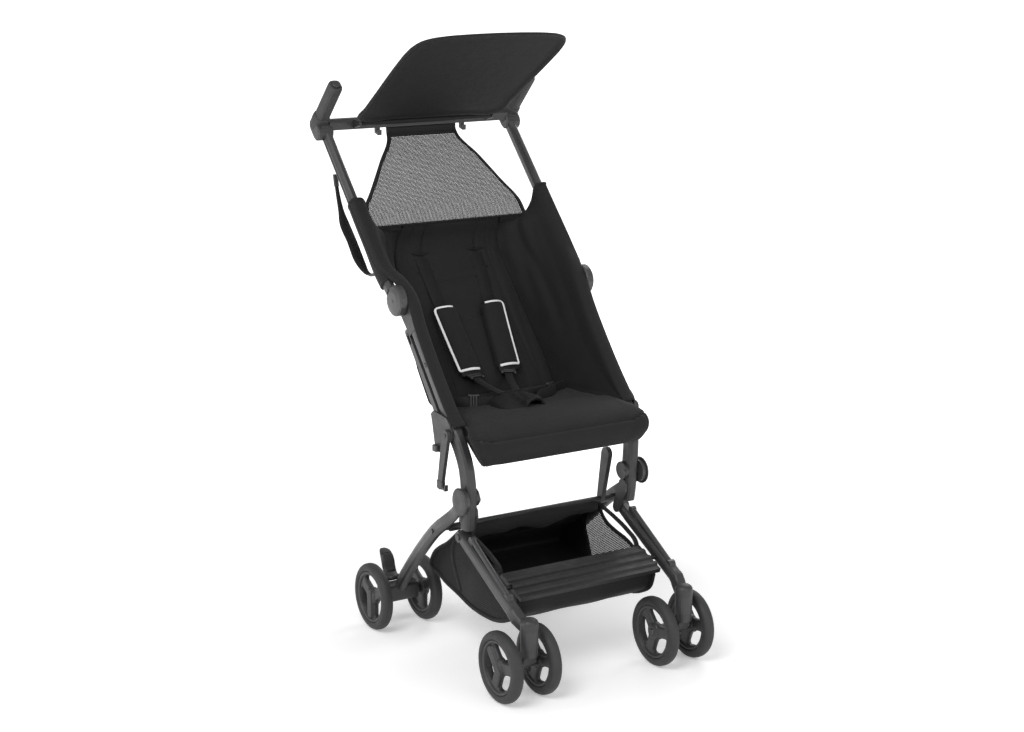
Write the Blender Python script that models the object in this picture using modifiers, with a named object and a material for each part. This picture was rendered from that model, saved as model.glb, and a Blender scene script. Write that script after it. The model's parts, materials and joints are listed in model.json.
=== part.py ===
"""A compact travel stroller, in metres, +Z up, the child facing -Y and the child's left at +X.

Every side-view place below is (y, z), measured from a plane near the handle bar. One empty moves
the whole stroller back by CENTRE_SHIFT, so that its box is centred over the origin.
"""

import math

import bmesh
import bpy
from mathutils import Matrix, Vector

# Overall placing and clearances
CENTRE_SHIFT = 0.3101
GAP = 0.0003
PIN_GAP = 0.0004

# Wheels
WHEEL_RADIUS = 0.0635
WHEEL_SIDES = 18
TYRE_HALF = 0.0110
RIM_RADIUS = 0.0455
HUB_RADIUS = 0.0130
HUB_HALF = 0.0100
AXLE_RADIUS = 0.0040
REAR_AXLE = (-0.1800, WHEEL_RADIUS)
REAR_WHEEL_X = (0.1155, 0.2214)
FRONT_AXLE = (-0.6070, WHEEL_RADIUS)
FRONT_WHEEL_X = (0.1244, 0.2015)
FRONT_WHEEL_TURN = 360 / WHEEL_SIDES
CASTER_X = 0.1630
CASTER_Y = -0.6370
CASTER_TOP = 0.1460
CASTER_BOTTOM = 0.1010
CASTER_RADIUS = 0.0155
STEM_RADIUS = 0.0060

# Pivots of the fold, all along X
FOLD = (-0.2500, 0.6415)
REAR_PIVOT = (-0.4570, 0.3170)
KNEE = (-0.4300, 0.2435)
LATCH_PIVOT = (-0.4240, 0.4310)
TOGGLE = (-0.4030, 0.3350)
STRUT_PIVOT = (-0.3920, 0.2500)
CANOPY_HINGE = (-0.0080, 0.9350)
PEDAL_PIVOT = (-0.1620, 0.0860)

# Lanes of the side frame, as low and high X
STRUT_LANE = (0.1450, 0.1540)
KNEE_CHEEK_LANE = (0.1575, 0.1615)
LEG_LANE = (0.1610, 0.1830)
LEG_BOSS_INNER = 0.1560
REAR_FLAT_LANE = (0.1845, 0.1915)
LATCH_LANE = (0.1975, 0.2040)
HOUSING_LANE = (0.1725, 0.1926)
UPPER_LANE = (0.1930, 0.2095)
SIDE_BAR_LANE = (0.1835, 0.1890)
BRACKET_LANE = (0.1934, 0.1972)

# Tubes
TUBE_HALF_X = 0.0090
TUBE_HALF_DEPTH = 0.0120
LOWER_TUBE_X = 0.1830
SEAM = (-0.2917, 0.5898)
LOWER_TUBE_END = (-0.4110, 0.4480)
SIDE_BAR = ((-0.2589, 0.5883), (-0.3782, 0.4470))
UPPER_TUBE_X = 0.2020
UPPER_TUBE_TOP = (0.0208, 0.9173)
UPPER_TUBE_BEND = (-0.1900, 0.6880)
DISC_RADIUS = 0.0285
FOLD_PIN_RADIUS = 0.0050
REAR_CAP_RADIUS = 0.0250
REAR_PIN_RADIUS = 0.0050
KNEE_PIN_RADIUS = 0.0036

# Handle
ELBOW = (0.0349, 0.9328)
GRIP_START = (0.0250, 0.9429)
GRIP_TIP = (-0.0425, 1.0113)
GRIP_X = 0.2100
GRIP_HALF_X = 0.0125
GRIP_HALF_DEPTH = 0.0135
BUTTON_RADIUS = 0.0080
BUTTON_LENGTH = 0.0110
BUTTON_PROUD = 0.0045
CROSSBAR_Y = (0.0140, 0.0440)
CROSSBAR_Z = (0.9215, 0.9415)
CROSSBAR_WALL = 0.0025

# Canopy
CANOPY_FRONT = (-0.2770, 1.1090)
CANOPY_HALF_REAR = 0.1540
CANOPY_HALF_FRONT = 0.1635
CANOPY_THICK = 0.0060

# Seat
SEAT_ROD = (-0.4314, 0.4200)
SEAT_ROD_RADIUS = 0.0060
SEAT_THICK = 0.0140
BACK_THICK = 0.0100
BACK_PATH = (
    (-0.0940, 0.7480),
    (-0.0800, 0.7150),
    (-0.0810, 0.6810),
    (-0.1050, 0.6460),
    (-0.1740, 0.5460),
    (-0.2430, 0.4550),
    (-0.2524, 0.4430),
)

# The seat cushion's upper face, as (y, z, half width)
SEAT_PATH = (
    (-0.2525, 0.4420, 0.1340),
    (-0.2900, 0.4405, 0.1400),
    (-0.3300, 0.4400, 0.1460),
    (-0.3800, 0.4425, 0.1540),
    (-0.4200, 0.4460, 0.1620),
    (-0.4450, 0.4425, 0.1660),
    (-0.4670, 0.4375, 0.1800),
    (-0.4820, 0.4300, 0.1830),
    (-0.4930, 0.4180, 0.1820),
    (-0.4940, 0.4060, 0.1750),
    (-0.4870, 0.3920, 0.1640),
    (-0.4780, 0.3740, 0.1600),
)

# Harness
BUCKLE_OFF = 0.0200

# Rows of a shoulder pad: share of the way down the back, middle x, how much thinner
PAD_ROWS = (
    (0.515, 0.0515, 0.0015),
    (0.540, 0.0510, 0.0),
    (0.640, 0.0480, 0.0),
    (0.740, 0.0450, 0.0),
    (0.840, 0.0420, 0.0),
    (0.868, 0.0410, 0.0015),
)

# Basket and footrest
BASKET_HALF_X = 0.1480
BASKET_WALL = 0.0030
BASKET_PROFILE = (
    (-0.3879, 0.2440),
    (-0.3300, 0.1990),
    (-0.2640, 0.1520),
    (-0.2620, 0.1370),
    (-0.3300, 0.1180),
    (-0.4000, 0.1050),
    (-0.4520, 0.0980),
    (-0.5200, 0.1080),
    (-0.5650, 0.1300),
    (-0.5745, 0.1663),
)
FOOTREST_HALF_X = 0.1480
FOOTREST_REAR = (-0.5206, 0.1960)
FOOTREST_FRONT = (-0.5870, 0.1710)

# The carry strap behind the right upper tube, as (y, z, half width)
CARRY_PATH = (
    (-0.0404, 0.8318, 0.0050),
    (-0.0290, 0.8260, 0.0060),
    (-0.0270, 0.8060, 0.0100),
    (-0.0420, 0.7700, 0.0125),
    (-0.0810, 0.7280, 0.0130),
    (-0.1230, 0.6830, 0.0130),
    (-0.1500, 0.6730, 0.0080),
    (-0.1700, 0.6720, 0.0060),
    (-0.1797, 0.6779, 0.0060),
)

SIDES = (("left", 1), ("right", -1))


def clear_scene():
    for obj in list(bpy.data.objects):
        bpy.data.objects.remove(obj)


def new_collection(name):
    collection = bpy.data.collections.new(name)
    bpy.context.scene.collection.children.link(collection)
    return collection


def principled(name, colour, roughness, metallic=0.0):
    material = bpy.data.materials.new(name)
    material.use_nodes = True
    shader = material.node_tree.nodes["Principled BSDF"]
    shader.inputs["Base Color"].default_value = (*colour, 1.0)
    shader.inputs["Roughness"].default_value = roughness
    shader.inputs["Metallic"].default_value = metallic
    return material


# Colours from the photograph
FINISHES = {
    "frame": ((0.030, 0.031, 0.033), 0.42, 0.35),
    "plastic": ((0.024, 0.024, 0.026), 0.50, 0.0),
    "grip": ((0.030, 0.030, 0.032), 0.75, 0.0),
    "tyre": ((0.035, 0.035, 0.037), 0.60, 0.0),
    "fabric": ((0.018, 0.018, 0.019), 0.90, 0.0),
    "mesh": ((0.30, 0.30, 0.31), 0.85, 0.0),
    "webbing": ((0.012, 0.012, 0.013), 0.80, 0.0),
    "pad": ((0.022, 0.022, 0.023), 0.95, 0.0),
}


def link(obj, collection):
    collection.objects.link(obj)
    return obj


def realise(obj):
    """The object's evaluated mesh in world space, welded at its caps; the object is removed."""
    bpy.context.view_layer.update()
    graph = bpy.context.evaluated_depsgraph_get()
    mesh = bpy.data.meshes.new_from_object(obj.evaluated_get(graph))
    mesh.transform(obj.matrix_world)
    bm = bmesh.new()
    bm.from_mesh(mesh)
    bmesh.ops.remove_doubles(bm, verts=bm.verts, dist=0.00002)
    bmesh.ops.recalc_face_normals(bm, faces=bm.faces)
    bm.to_mesh(mesh)
    bm.free()
    bpy.data.objects.remove(obj)
    return mesh


def object_of(mesh, name="shape"):
    obj = link(bpy.data.objects.new(name, mesh), WORKSHOP)
    obj.display_type = "WIRE"
    return obj


def loft(rings):
    """A closed solid through rings of equally many points, with flat ends."""
    bm = bmesh.new()
    loops = [[bm.verts.new(point) for point in ring] for ring in rings]
    for first, second in zip(loops, loops[1:]):
        for k in range(len(first)):
            nxt = (k + 1) % len(first)
            bm.faces.new((first[k], first[nxt], second[nxt], second[k]))
    bm.faces.new(loops[0])
    bm.faces.new(loops[-1])
    bmesh.ops.recalc_face_normals(bm, faces=bm.faces)
    mesh = bpy.data.meshes.new("loft")
    bm.to_mesh(mesh)
    bm.free()
    return object_of(mesh)


def superellipse(sides, power):
    """Points round a rounded square of half size 1."""
    points = []
    for k in range(sides):
        angle = 2 * math.pi * (k + 0.5) / sides
        c, s = math.cos(angle), math.sin(angle)
        points.append(tuple(math.copysign(abs(part) ** (2 / power), part) for part in (c, s)))
    return points


def bar(stations, sides=12, power=2.6):
    """A bar through stations (x, y, z, half_x, half_depth), its section square to its side-view path."""
    places = [Vector((y, z)) for _, y, z, _, _ in stations]
    rings = []
    for k, (x, y, z, half_x, half_depth) in enumerate(stations):
        ahead = places[min(k + 1, len(places) - 1)] - places[max(k - 1, 0)]
        normal = Vector((-ahead.y, ahead.x)).normalized()
        rings.append(
            [
                (x + half_x * u, y + half_depth * v * normal.x, z + half_depth * v * normal.y)
                for u, v in superellipse(sides, power)
            ]
        )
    return loft(rings)


def smooth_stations(stations, steps):
    """More stations on a smooth curve through the given ones."""
    out = []
    last = len(stations) - 1
    for k in range(last):
        around = [Vector(stations[min(max(k + d, 0), last)]) for d in (-1, 0, 1, 2)]
        for step in range(steps):
            t = step / steps
            a, b, c, d = around
            bend = (2 * a - 5 * b + 4 * c - d) * t**2
            twist = (3 * b - a - 3 * c + d) * t**3
            out.append(0.5 * (2 * b + (c - a) * t + bend + twist))
    out.append(Vector(stations[last]))
    return [tuple(station) for station in out]


def turned(profile, place, segments=24):
    """A turned piece along X at place (y, z): the profile is (x, radius), from axis to axis or closed."""
    mesh = bpy.data.meshes.new("profile")
    closed = profile[0][1] > 0
    edges = [(k, k + 1) for k in range(len(profile) - 1)]
    if closed:
        edges.append((len(profile) - 1, 0))
    mesh.from_pydata([(x, 0.0, radius) for x, radius in profile], edges, [])
    obj = object_of(mesh)
    screw = obj.modifiers.new("turn", "SCREW")
    screw.axis = "X"
    screw.steps = segments
    screw.render_steps = segments
    screw.use_merge_vertices = True
    screw.merge_threshold = 0.00005
    obj.location = (0.0, place[0], place[1])
    return object_of(realise(obj))


def rod(low, high, place, radius, segments=16):
    """A plain round rod along X from low to high."""
    return turned([(low, 0.0), (low, radius), (high, radius), (high, 0.0)], place, segments)


def upright(place, low, high, radius, segments=20, top_round=0.0):
    """A round post along Z at place (x, y), its top edge rounded if asked."""
    profile = [(low, 0.0), (low, radius)]
    if top_round:
        for turn in (0.0, 0.5, 1.05, math.pi / 2):
            edge = radius - top_round * (1 - math.cos(turn))
            profile.append((high - top_round * (1 - math.sin(turn)), edge))
    else:
        profile.append((high, radius))
    obj = turned(profile + [(high, 0.0)], (0.0, 0.0), segments)
    obj.data.transform(Matrix.Rotation(-math.pi / 2, 4, "Y"))
    obj.data.transform(Matrix.Translation((place[0], place[1], 0.0)))
    return obj


def plate(outline, lane, edge=0.0):
    """A flat side-view outline of (y, z) points, as thick as its lane of X, with its edges eased."""
    curve = bpy.data.curves.new("outline", "CURVE")
    curve.dimensions = "2D"
    curve.fill_mode = "BOTH"
    curve.extrude = (lane[1] - lane[0]) / 2
    spline = curve.splines.new("POLY")
    spline.points.add(len(outline) - 1)
    for point, (y, z) in zip(spline.points, outline):
        point.co = (y, z, 0.0, 1.0)
    spline.use_cyclic_u = True
    obj = link(bpy.data.objects.new("outline", curve), WORKSHOP)
    obj.rotation_euler = (math.pi / 2, 0.0, math.pi / 2)
    obj.location.x = sum(lane) / 2
    solid = object_of(realise(obj))
    if edge:
        bevel = solid.modifiers.new("edge", "BEVEL")
        bevel.width = edge
        bevel.segments = 1
        bevel.limit_method = "ANGLE"
        bevel.angle_limit = math.radians(50)
        solid = object_of(realise(solid))
    return solid


def mirrored_lane(lane, sign):
    return lane if sign > 0 else (-lane[1], -lane[0])


def arc(centre, radius, start, end, count):
    """Points on an arc, in degrees from +Y towards +Z."""
    angles = [math.radians(start + (end - start) * k / (count - 1)) for k in range(count)]
    return [(centre[0] + radius * math.cos(a), centre[1] + radius * math.sin(a)) for a in angles]


def bearing(start, end):
    return math.degrees(math.atan2(end[1] - start[1], end[0] - start[0]))


def link_outline(first, first_radius, second, second_radius, count=7):
    """The outline of a flat link with two round ends."""
    lie = bearing(first, second)
    turn = math.degrees(math.asin((first_radius - second_radius) / math.dist(first, second)))
    return arc(first, first_radius, lie + 90 - turn, lie + 270 + turn, count) + arc(
        second, second_radius, lie - 90 + turn, lie + 90 - turn, count
    )


def join(base, *others):
    return combine(base, others, "UNION")


def cut(base, *others):
    return combine(base, others, "DIFFERENCE")


def combine(base, others, operation):
    for other in others:
        boolean = base.modifiers.new(operation.lower(), "BOOLEAN")
        boolean.operation = operation
        boolean.object = other
    mesh = realise(base)
    for other in others:
        bpy.data.objects.remove(other)
    return object_of(mesh)


def place_node(name, obj, finish, parent):
    """Names a finished shape, moves it to the stroller's collection and hangs it on its body's empty."""
    mesh = obj.data
    mesh.name = name
    mesh.materials.clear()
    mesh.materials.append(principled(name, *FINISHES[finish]))
    mesh.shade_smooth()
    mesh.set_sharp_from_angle(angle=math.radians(35))
    WORKSHOP.objects.unlink(obj)
    link(obj, STROLLER)
    obj.display_type = "TEXTURED"
    obj.name = name
    obj.parent = parent
    shift = Matrix.Translation((0.0, CENTRE_SHIFT, 0.0))
    obj.matrix_parent_inverse = parent.matrix_world.inverted() @ shift
    return obj


def place_pair(name, obj, finish, parents):
    """The shape made for the left side, and its mirror image on the right."""
    mirrored = obj.data.copy()
    mirrored.transform(Matrix.Scale(-1, 4, (1, 0, 0)))
    mirrored.flip_normals()
    if not isinstance(parents, dict):
        parents = {"left": parents, "right": parents}
    place_node(f"{name}_left", obj, finish, parents["left"])
    place_node(f"{name}_right", object_of(mirrored), finish, parents["right"])


def axis_empty(name, place, parent=None, x=0.0):
    """The parent of a moving body, on its joint's axis."""
    empty = bpy.data.objects.new(name, None)
    empty.empty_display_size = 0.03
    STROLLER.objects.link(empty)
    empty.location = (x, place[0], place[1])
    if parent:
        empty.parent = parent
        shift = Vector((0.0, CENTRE_SHIFT, 0.0))
        empty.location = Vector((x, place[0], place[1])) + shift - parent.matrix_world.translation
    bpy.context.view_layer.update()
    return empty


def along(start, end, distance):
    """The place at a distance from start towards end."""
    length = math.dist(start, end)
    return tuple(a + (b - a) * distance / length for a, b in zip(start, end))


def aside(start, end, distance):
    """The step square to start-end, to its left, as (y, z)."""
    length = math.dist(start, end)
    return (-(end[1] - start[1]) / length * distance, (end[0] - start[0]) / length * distance)


def make_lower_tubes(chassis):
    half = (TUBE_HALF_X, TUBE_HALF_DEPTH)
    ends = along(SEAM, LOWER_TUBE_END, GAP), along(LOWER_TUBE_END, SEAM, GAP)
    tube = bar([(LOWER_TUBE_X, *place, *half) for place in ends], 12, 2.4)
    place_pair("lower_tube", tube, "frame", chassis)


def make_pivot_housings(chassis):
    """The moulding on top of each lower tube, bored for the fold pin, with the lock bar's guide."""
    turn = math.degrees(math.asin((0.0220 - 0.0145) / math.dist(FOLD, SEAM)))
    lie = bearing(FOLD, SEAM)
    step = aside(FOLD, SEAM, 0.0145)
    outline = arc(FOLD, 0.0220, lie + 90 - turn, lie + 270 + turn, 12)
    outline += [(SEAM[0] - step[0], SEAM[1] - step[1]), (SEAM[0] + step[0], SEAM[1] + step[1])]
    knuckle = plate(outline, HOUSING_LANE, 0.0025)
    bore = rod(0.1760, 0.2100, FOLD, FOLD_PIN_RADIUS + PIN_GAP, 14)
    pin_place = side_bar_place(0.0100)
    guide = plate(link_outline((-0.2750, 0.6050), 0.0110, pin_place, 0.0065, 6), (0.1750, 0.1825))
    pin = rod(0.1800, SIDE_BAR_LANE[1] + 0.0006, pin_place, 0.0030, 12)
    place_pair("pivot_housing", cut(join(knuckle, guide, pin), bore), "plastic", chassis)


def side_bar_place(distance):
    """A place on the lock bar's middle line, so far below its top end."""
    return along(*SIDE_BAR, distance)


def make_side_bars(axes):
    """The flat lock bar behind each lower tube, slotted over the guide's pin and the bracket's pin."""
    length = math.dist(*SIDE_BAR)
    outline = link_outline(side_bar_place(0.0060), 0.0060, side_bar_place(length - 0.0060), 0.0060, 6)
    ends = (0.0100, 0.0275), (length - 0.0110, length + 0.02)
    slots = []
    for low, high in ends:
        hole = link_outline(side_bar_place(low), 0.0034, side_bar_place(high), 0.0034, 5)
        slots.append(plate(hole, (0.17, 0.20)))
    middle = side_bar_place(length * 0.41)
    step = aside(side_bar_place(0.0), side_bar_place(length), 0.0075)
    notch = rod(0.17, 0.20, (middle[0] + step[0], middle[1] + step[1]), 0.0040, 12)
    place_pair("side_bar", cut(plate(outline, SIDE_BAR_LANE), *slots, notch), "frame", axes)


def make_upper_legs(chassis):
    """The moulded legs that curve down from the lower tubes to the knees."""
    path = smooth_stations(
        [
            (0.1830, -0.4110, 0.4480, 0.0100, 0.0130),
            (0.1820, -0.4265, 0.4285, 0.0110, 0.0148),
            (0.1790, -0.4400, 0.4040, 0.0110, 0.0150),
            (0.1755, -0.4505, 0.3715, 0.0110, 0.0150),
            (0.1720, -0.4520, 0.3255, 0.0110, 0.0150),
            (0.1720, -0.4495, 0.2890, 0.0110, 0.0145),
            (0.1720, -0.4465, 0.2620, 0.0105, 0.0125),
        ],
        2,
    )
    cheek = plate(link_outline((-0.4485, 0.2850), 0.0120, KNEE, 0.0100), KNEE_CHEEK_LANE)
    block = plate(link_outline((-0.4490, 0.2920), 0.0110, (-0.4475, 0.2800), 0.0105), (0.1575, 0.1700))
    pin = rod(0.1580, LEG_LANE[1] - GAP, KNEE, KNEE_PIN_RADIUS, 14)
    head = rod(0.1823, 0.1843, KNEE, 0.0065, 14)
    boss = rod(LEG_BOSS_INNER, 0.1680, (-0.4475, 0.3190), 0.0165, 18)
    leg = join(bar(path, 12, 3.4), cheek, block, pin, head, boss)
    hole = rod(0.10, 0.25, REAR_PIVOT, REAR_PIN_RADIUS + PIN_GAP, 14)
    place_pair("front_upper_leg", cut(leg, hole), "plastic", chassis)


def make_rear_pivot_caps(chassis):
    """The turned pin of each rear leg's pivot, with its wide outer cap and its small inner head."""
    profile = [
        (LEG_BOSS_INNER - GAP - 0.0012, 0.0),
        (LEG_BOSS_INNER - GAP - 0.0012, 0.0065),
        (LEG_BOSS_INNER - GAP, 0.0070),
        (LEG_BOSS_INNER - GAP, REAR_PIN_RADIUS),
        (REAR_FLAT_LANE[1] + GAP, REAR_PIN_RADIUS),
        (REAR_FLAT_LANE[1] + GAP, REAR_CAP_RADIUS),
        (0.1940, REAR_CAP_RADIUS),
        (0.1958, REAR_CAP_RADIUS - 0.0025),
        (0.1966, REAR_CAP_RADIUS - 0.0100),
        (0.1966, 0.0),
    ]
    place_pair("rear_pivot_cap", turned(profile, REAR_PIVOT, 18), "plastic", chassis)


def make_seat_brackets(chassis):
    """The plate behind each bend, with the latch link's pin, the lock bar's pin and a square knob."""
    pin_place = side_bar_place(math.dist(*SIDE_BAR) - 0.0108)
    outline = [
        (-0.4270, 0.4520),
        (-0.4170, 0.4600),
        (-0.3720, 0.4640),
        (-0.3630, 0.4570),
        (-0.3680, 0.4400),
        (-0.3760, 0.4050),
        (-0.3800, 0.3930),
        (-0.3950, 0.3930),
        (-0.4100, 0.4150),
        (-0.4330, 0.4220),
        (-0.4350, 0.4400),
    ]
    body = plate(outline, BRACKET_LANE)
    pin = rod(0.1950, LATCH_LANE[1] + 0.0010, LATCH_PIVOT, 0.0036, 12)
    lock_pin = rod(0.1800, 0.1940, pin_place, 0.0030, 12)
    knob = bar([(0.1960, -0.3880, z, 0.0100, 0.0075) for z in (0.3945, 0.4055)], 8, 6.0)
    place_pair("seat_bracket", join(body, pin, lock_pin, knob), "plastic", chassis)


def make_seat_frame(chassis):
    """The round bar under the front of the seat, from leg to leg."""
    place_node("seat_frame", rod(-0.1690, 0.1690, SEAT_ROD, SEAT_ROD_RADIUS, 16), "frame", chassis)


def make_latch_links(axes):
    """The link that hangs from each seat bracket, with a boxy foot and a small hook."""
    body = plate(link_outline(LATCH_PIVOT, 0.0105, TOGGLE, 0.0070), LATCH_LANE)
    foot = bar([(0.2007, -0.4040, z, 0.0042, 0.0100) for z in (0.3300, 0.3440)], 8, 6.0)
    outline = [(-0.4120, 0.3360), (-0.4120, 0.3310), (-0.4230, 0.3290)]
    outline += [(-0.4240, 0.3400), (-0.4210, 0.3400), (-0.4200, 0.3330)]
    hook = plate(outline, LATCH_LANE)
    hole = rod(0.18, 0.22, LATCH_PIVOT, 0.0036 + PIN_GAP, 12)
    place_pair("latch_link", cut(join(body, foot, hook), hole), "plastic", axes)


def make_upper_tubes(handle):
    """Each upper tube with a lengthwise groove outside, and the round joint disc at its foot."""
    half = (TUBE_HALF_X, TUBE_HALF_DEPTH)
    stations = [
        (UPPER_TUBE_X, *UPPER_TUBE_TOP, *half),
        (UPPER_TUBE_X, *UPPER_TUBE_BEND, *half),
        (UPPER_TUBE_X, -0.2320, 0.6550, *half),
    ]
    tube = bar(stations, 12, 2.4)
    groove_low = along(UPPER_TUBE_BEND, UPPER_TUBE_TOP, 0.0050)
    groove_high = along(UPPER_TUBE_TOP, UPPER_TUBE_BEND, -0.0100)
    groove = plate(link_outline(groove_low, 0.0032, groove_high, 0.0032, 4), (0.2098, 0.2200))
    profile = [
        (0.1765, 0.0),
        (0.1765, FOLD_PIN_RADIUS),
        (UPPER_LANE[0], FOLD_PIN_RADIUS),
        (UPPER_LANE[0], DISC_RADIUS - 0.0020),
        (UPPER_LANE[0] + 0.0020, DISC_RADIUS),
        (0.2060, DISC_RADIUS),
        (0.2085, DISC_RADIUS - 0.0030),
        (0.2105, DISC_RADIUS - 0.0120),
        (0.2110, 0.0030),
        (0.2118, 0.0025),
        (0.2118, 0.0),
    ]
    place_pair("upper_tube", join(cut(tube, groove), turned(profile, FOLD, 20)), "frame", handle)


def make_crossbar(handle):
    """The handle bar, ribbed underneath, with the elbows of the grips, the canopy's ears and two hooks."""
    (y0, y1), (z0, z1) = CROSSBAR_Y, CROSSBAR_Z
    reach = 0.1960
    outline = [(y0, z0), (y1, z0), (y1, z1 - 0.0060)]
    outline += [(y1 - 0.0060, z1), (y0 + 0.0060, z1), (y0, z1 - 0.0060)]
    beam = plate(outline, (-reach, reach))
    count = 9
    pitch = 2 * (reach - 0.0080) / count
    inner = [
        (y0 + CROSSBAR_WALL, z0 - 0.005),
        (y1 - CROSSBAR_WALL, z0 - 0.005),
        (y1 - CROSSBAR_WALL, z1 - 0.0085),
        (y0 + CROSSBAR_WALL, z1 - 0.0085),
    ]
    pockets = []
    for k in range(count):
        low = -reach + 0.0080 + k * pitch + 0.0010
        pockets.append(plate(inner, (low, low + pitch - 0.0020)))
    beam = cut(beam, *pockets)
    pieces = []
    for _, sign in SIDES:
        lane = mirrored_lane((0.1905, 0.2225), sign)
        pieces.append(plate(link_outline(ELBOW, 0.0145, (0.0205, 0.9170), 0.0140, 6), lane, 0.0025))
        ear_lane = mirrored_lane((0.1430, 0.1470), sign)
        ear = [(y0 + 0.002, z1 - 0.0020), (y0 + 0.002, z0 + 0.0020)]
        ear += arc(CANOPY_HINGE, 0.0055, 250, 100, 7)
        pieces.append(plate(ear, ear_lane))
        hook_lane = mirrored_lane((0.0890, 0.0970), sign)
        hook = [(0.002, 0.003), (0.010, 0.003), (0.010, -0.010), (-0.004, -0.014)]
        hook += [(-0.005, -0.004), (-0.002, -0.004), (-0.001, -0.009), (0.002, -0.007)]
        pieces.append(plate([(y0 + y, z0 + z) for y, z in hook], hook_lane))
    beam = join(beam, *pieces)
    sockets = []
    for _, sign in SIDES:
        half = (TUBE_HALF_X + GAP, TUBE_HALF_DEPTH + GAP)
        places = [along(UPPER_TUBE_TOP, UPPER_TUBE_BEND, distance) for distance in (-GAP, 0.06)]
        sockets.append(bar([(sign * UPPER_TUBE_X, *place, *half) for place in places], 12, 2.4))
    bores = rod(-0.1600, 0.1600, CANOPY_HINGE, 0.0025 + PIN_GAP, 12)
    place_node("crossbar", cut(beam, *sockets, bores), "plastic", handle)


def make_grips(handle):
    path = [
        (GRIP_X, *GRIP_START, GRIP_HALF_X, GRIP_HALF_DEPTH),
        (GRIP_X, *along(GRIP_START, GRIP_TIP, 0.0500), GRIP_HALF_X, GRIP_HALF_DEPTH * 0.97),
        (GRIP_X, *along(GRIP_TIP, GRIP_START, 0.0060), GRIP_HALF_X, GRIP_HALF_DEPTH * 0.97),
        (GRIP_X, *along(GRIP_TIP, GRIP_START, 0.0015), GRIP_HALF_X * 0.96, GRIP_HALF_DEPTH * 0.93),
        (GRIP_X, *GRIP_TIP, GRIP_HALF_X * 0.87, GRIP_HALF_DEPTH * 0.85),
    ]
    hole = grip_button(BUTTON_RADIUS + 0.0005, BUTTON_PROUD - BUTTON_LENGTH - 0.0050, 0.0200, 18)
    elbow = plate(link_outline(ELBOW, 0.0145 + GAP, (0.0205, 0.9170), 0.0140 + GAP, 12), (0.18, 0.24))
    place_pair("grip", cut(bar(path, 14, 3.0), hole, elbow), "grip", handle)


def grip_button(radius, low, high, segments, eased=0.0):
    """A round piece on the grip's axis, from low to high past its tip."""
    profile = [(low, 0.0), (low, radius), (high - eased, radius), (high, radius - eased), (high, 0.0)]
    if not eased:
        del profile[2]
    obj = turned(profile, (0.0, 0.0), segments)
    lie = math.radians(bearing(GRIP_START, GRIP_TIP))
    turn = Matrix.Rotation(lie, 4, "X") @ Matrix.Rotation(math.pi / 2, 4, "Z")
    obj.data.transform(Matrix.Translation((GRIP_X, *GRIP_TIP)) @ turn)
    return obj


def make_release_buttons(axes):
    button = grip_button(BUTTON_RADIUS, BUTTON_PROUD - BUTTON_LENGTH, BUTTON_PROUD, 18, 0.0012)
    place_pair("release_button", button, "plastic", axes)


def make_canopy(axis):
    """The flat sun visor with a rounded front, and the hinge barrel along its rear edge."""
    length = math.dist(CANOPY_HINGE, CANOPY_FRONT)
    wide = CANOPY_HALF_FRONT
    half = [(0.1390, 0.0), (0.1390, 0.0110), (CANOPY_HALF_REAR, 0.0145), (wide - 0.004, length * 0.375)]
    half += [(wide, length * 0.624), (wide - 0.0005, length - 0.070), (wide - 0.003, length - 0.045)]
    half += [(wide - 0.0105, length - 0.026), (wide - 0.0255, length - 0.0140)]
    half += [(wide - 0.0485, length - 0.0075), (0.0600, length - 0.0019)]
    outline = half + [(0.0, length)] + [(-x, s) for x, s in reversed(half)]
    curve = bpy.data.curves.new("visor", "CURVE")
    curve.dimensions = "2D"
    curve.fill_mode = "BOTH"
    curve.extrude = CANOPY_THICK / 2
    spline = curve.splines.new("POLY")
    spline.points.add(len(outline) - 1)
    for point, (x, s) in zip(spline.points, outline):
        point.co = (x, s, 0.0, 1.0)
    spline.use_cyclic_u = True
    visor = link(bpy.data.objects.new("visor", curve), WORKSHOP)
    visor.rotation_euler = (math.radians(bearing(CANOPY_HINGE, CANOPY_FRONT)), 0.0, 0.0)
    visor.location = (0.0, *CANOPY_HINGE)
    visor = object_of(realise(visor))
    barrel = rod(-0.1425, 0.1425, CANOPY_HINGE, 0.0050, 16)
    pins = rod(-0.1465, 0.1465, CANOPY_HINGE, 0.0025, 12)
    place_node("canopy", join(visor, barrel, pins), "fabric", axis)


def panel(rows, thickness, offset=0.0):
    """A bent sheet through a grid of points, thickened to one side or both."""
    bm = bmesh.new()
    grid = [[bm.verts.new(point) for point in row] for row in rows]
    for low, high in zip(grid, grid[1:]):
        for k in range(len(low) - 1):
            bm.faces.new((low[k], low[k + 1], high[k + 1], high[k]))
    mesh = bpy.data.meshes.new("panel")
    bm.to_mesh(mesh)
    bm.free()
    obj = object_of(mesh)
    solid = obj.modifiers.new("thickness", "SOLIDIFY")
    solid.thickness = thickness
    solid.offset = offset
    return object_of(realise(obj))


def on_path(path, share):
    """The place and the forward normal at a share of the path's length."""
    lengths = [math.dist(a, b) for a, b in zip(path, path[1:])]
    left = share * sum(lengths)
    for k, length in enumerate(lengths):
        if left <= length or k == len(lengths) - 1:
            break
        left -= length
    place = along(path[k], path[k + 1], left)
    ahead = path[min(k + 2, len(path) - 1)], path[max(k - 1, 0)]
    step = aside(ahead[1], ahead[0], 1.0)
    return place, step


def back_point(x, share, proud):
    """A place in front of the seat back's face, proud of it by so much."""
    place, step = on_path(BACK_PATH, share)
    return (x, place[0] - step[0] * proud, place[1] - step[1] * proud)


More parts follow.
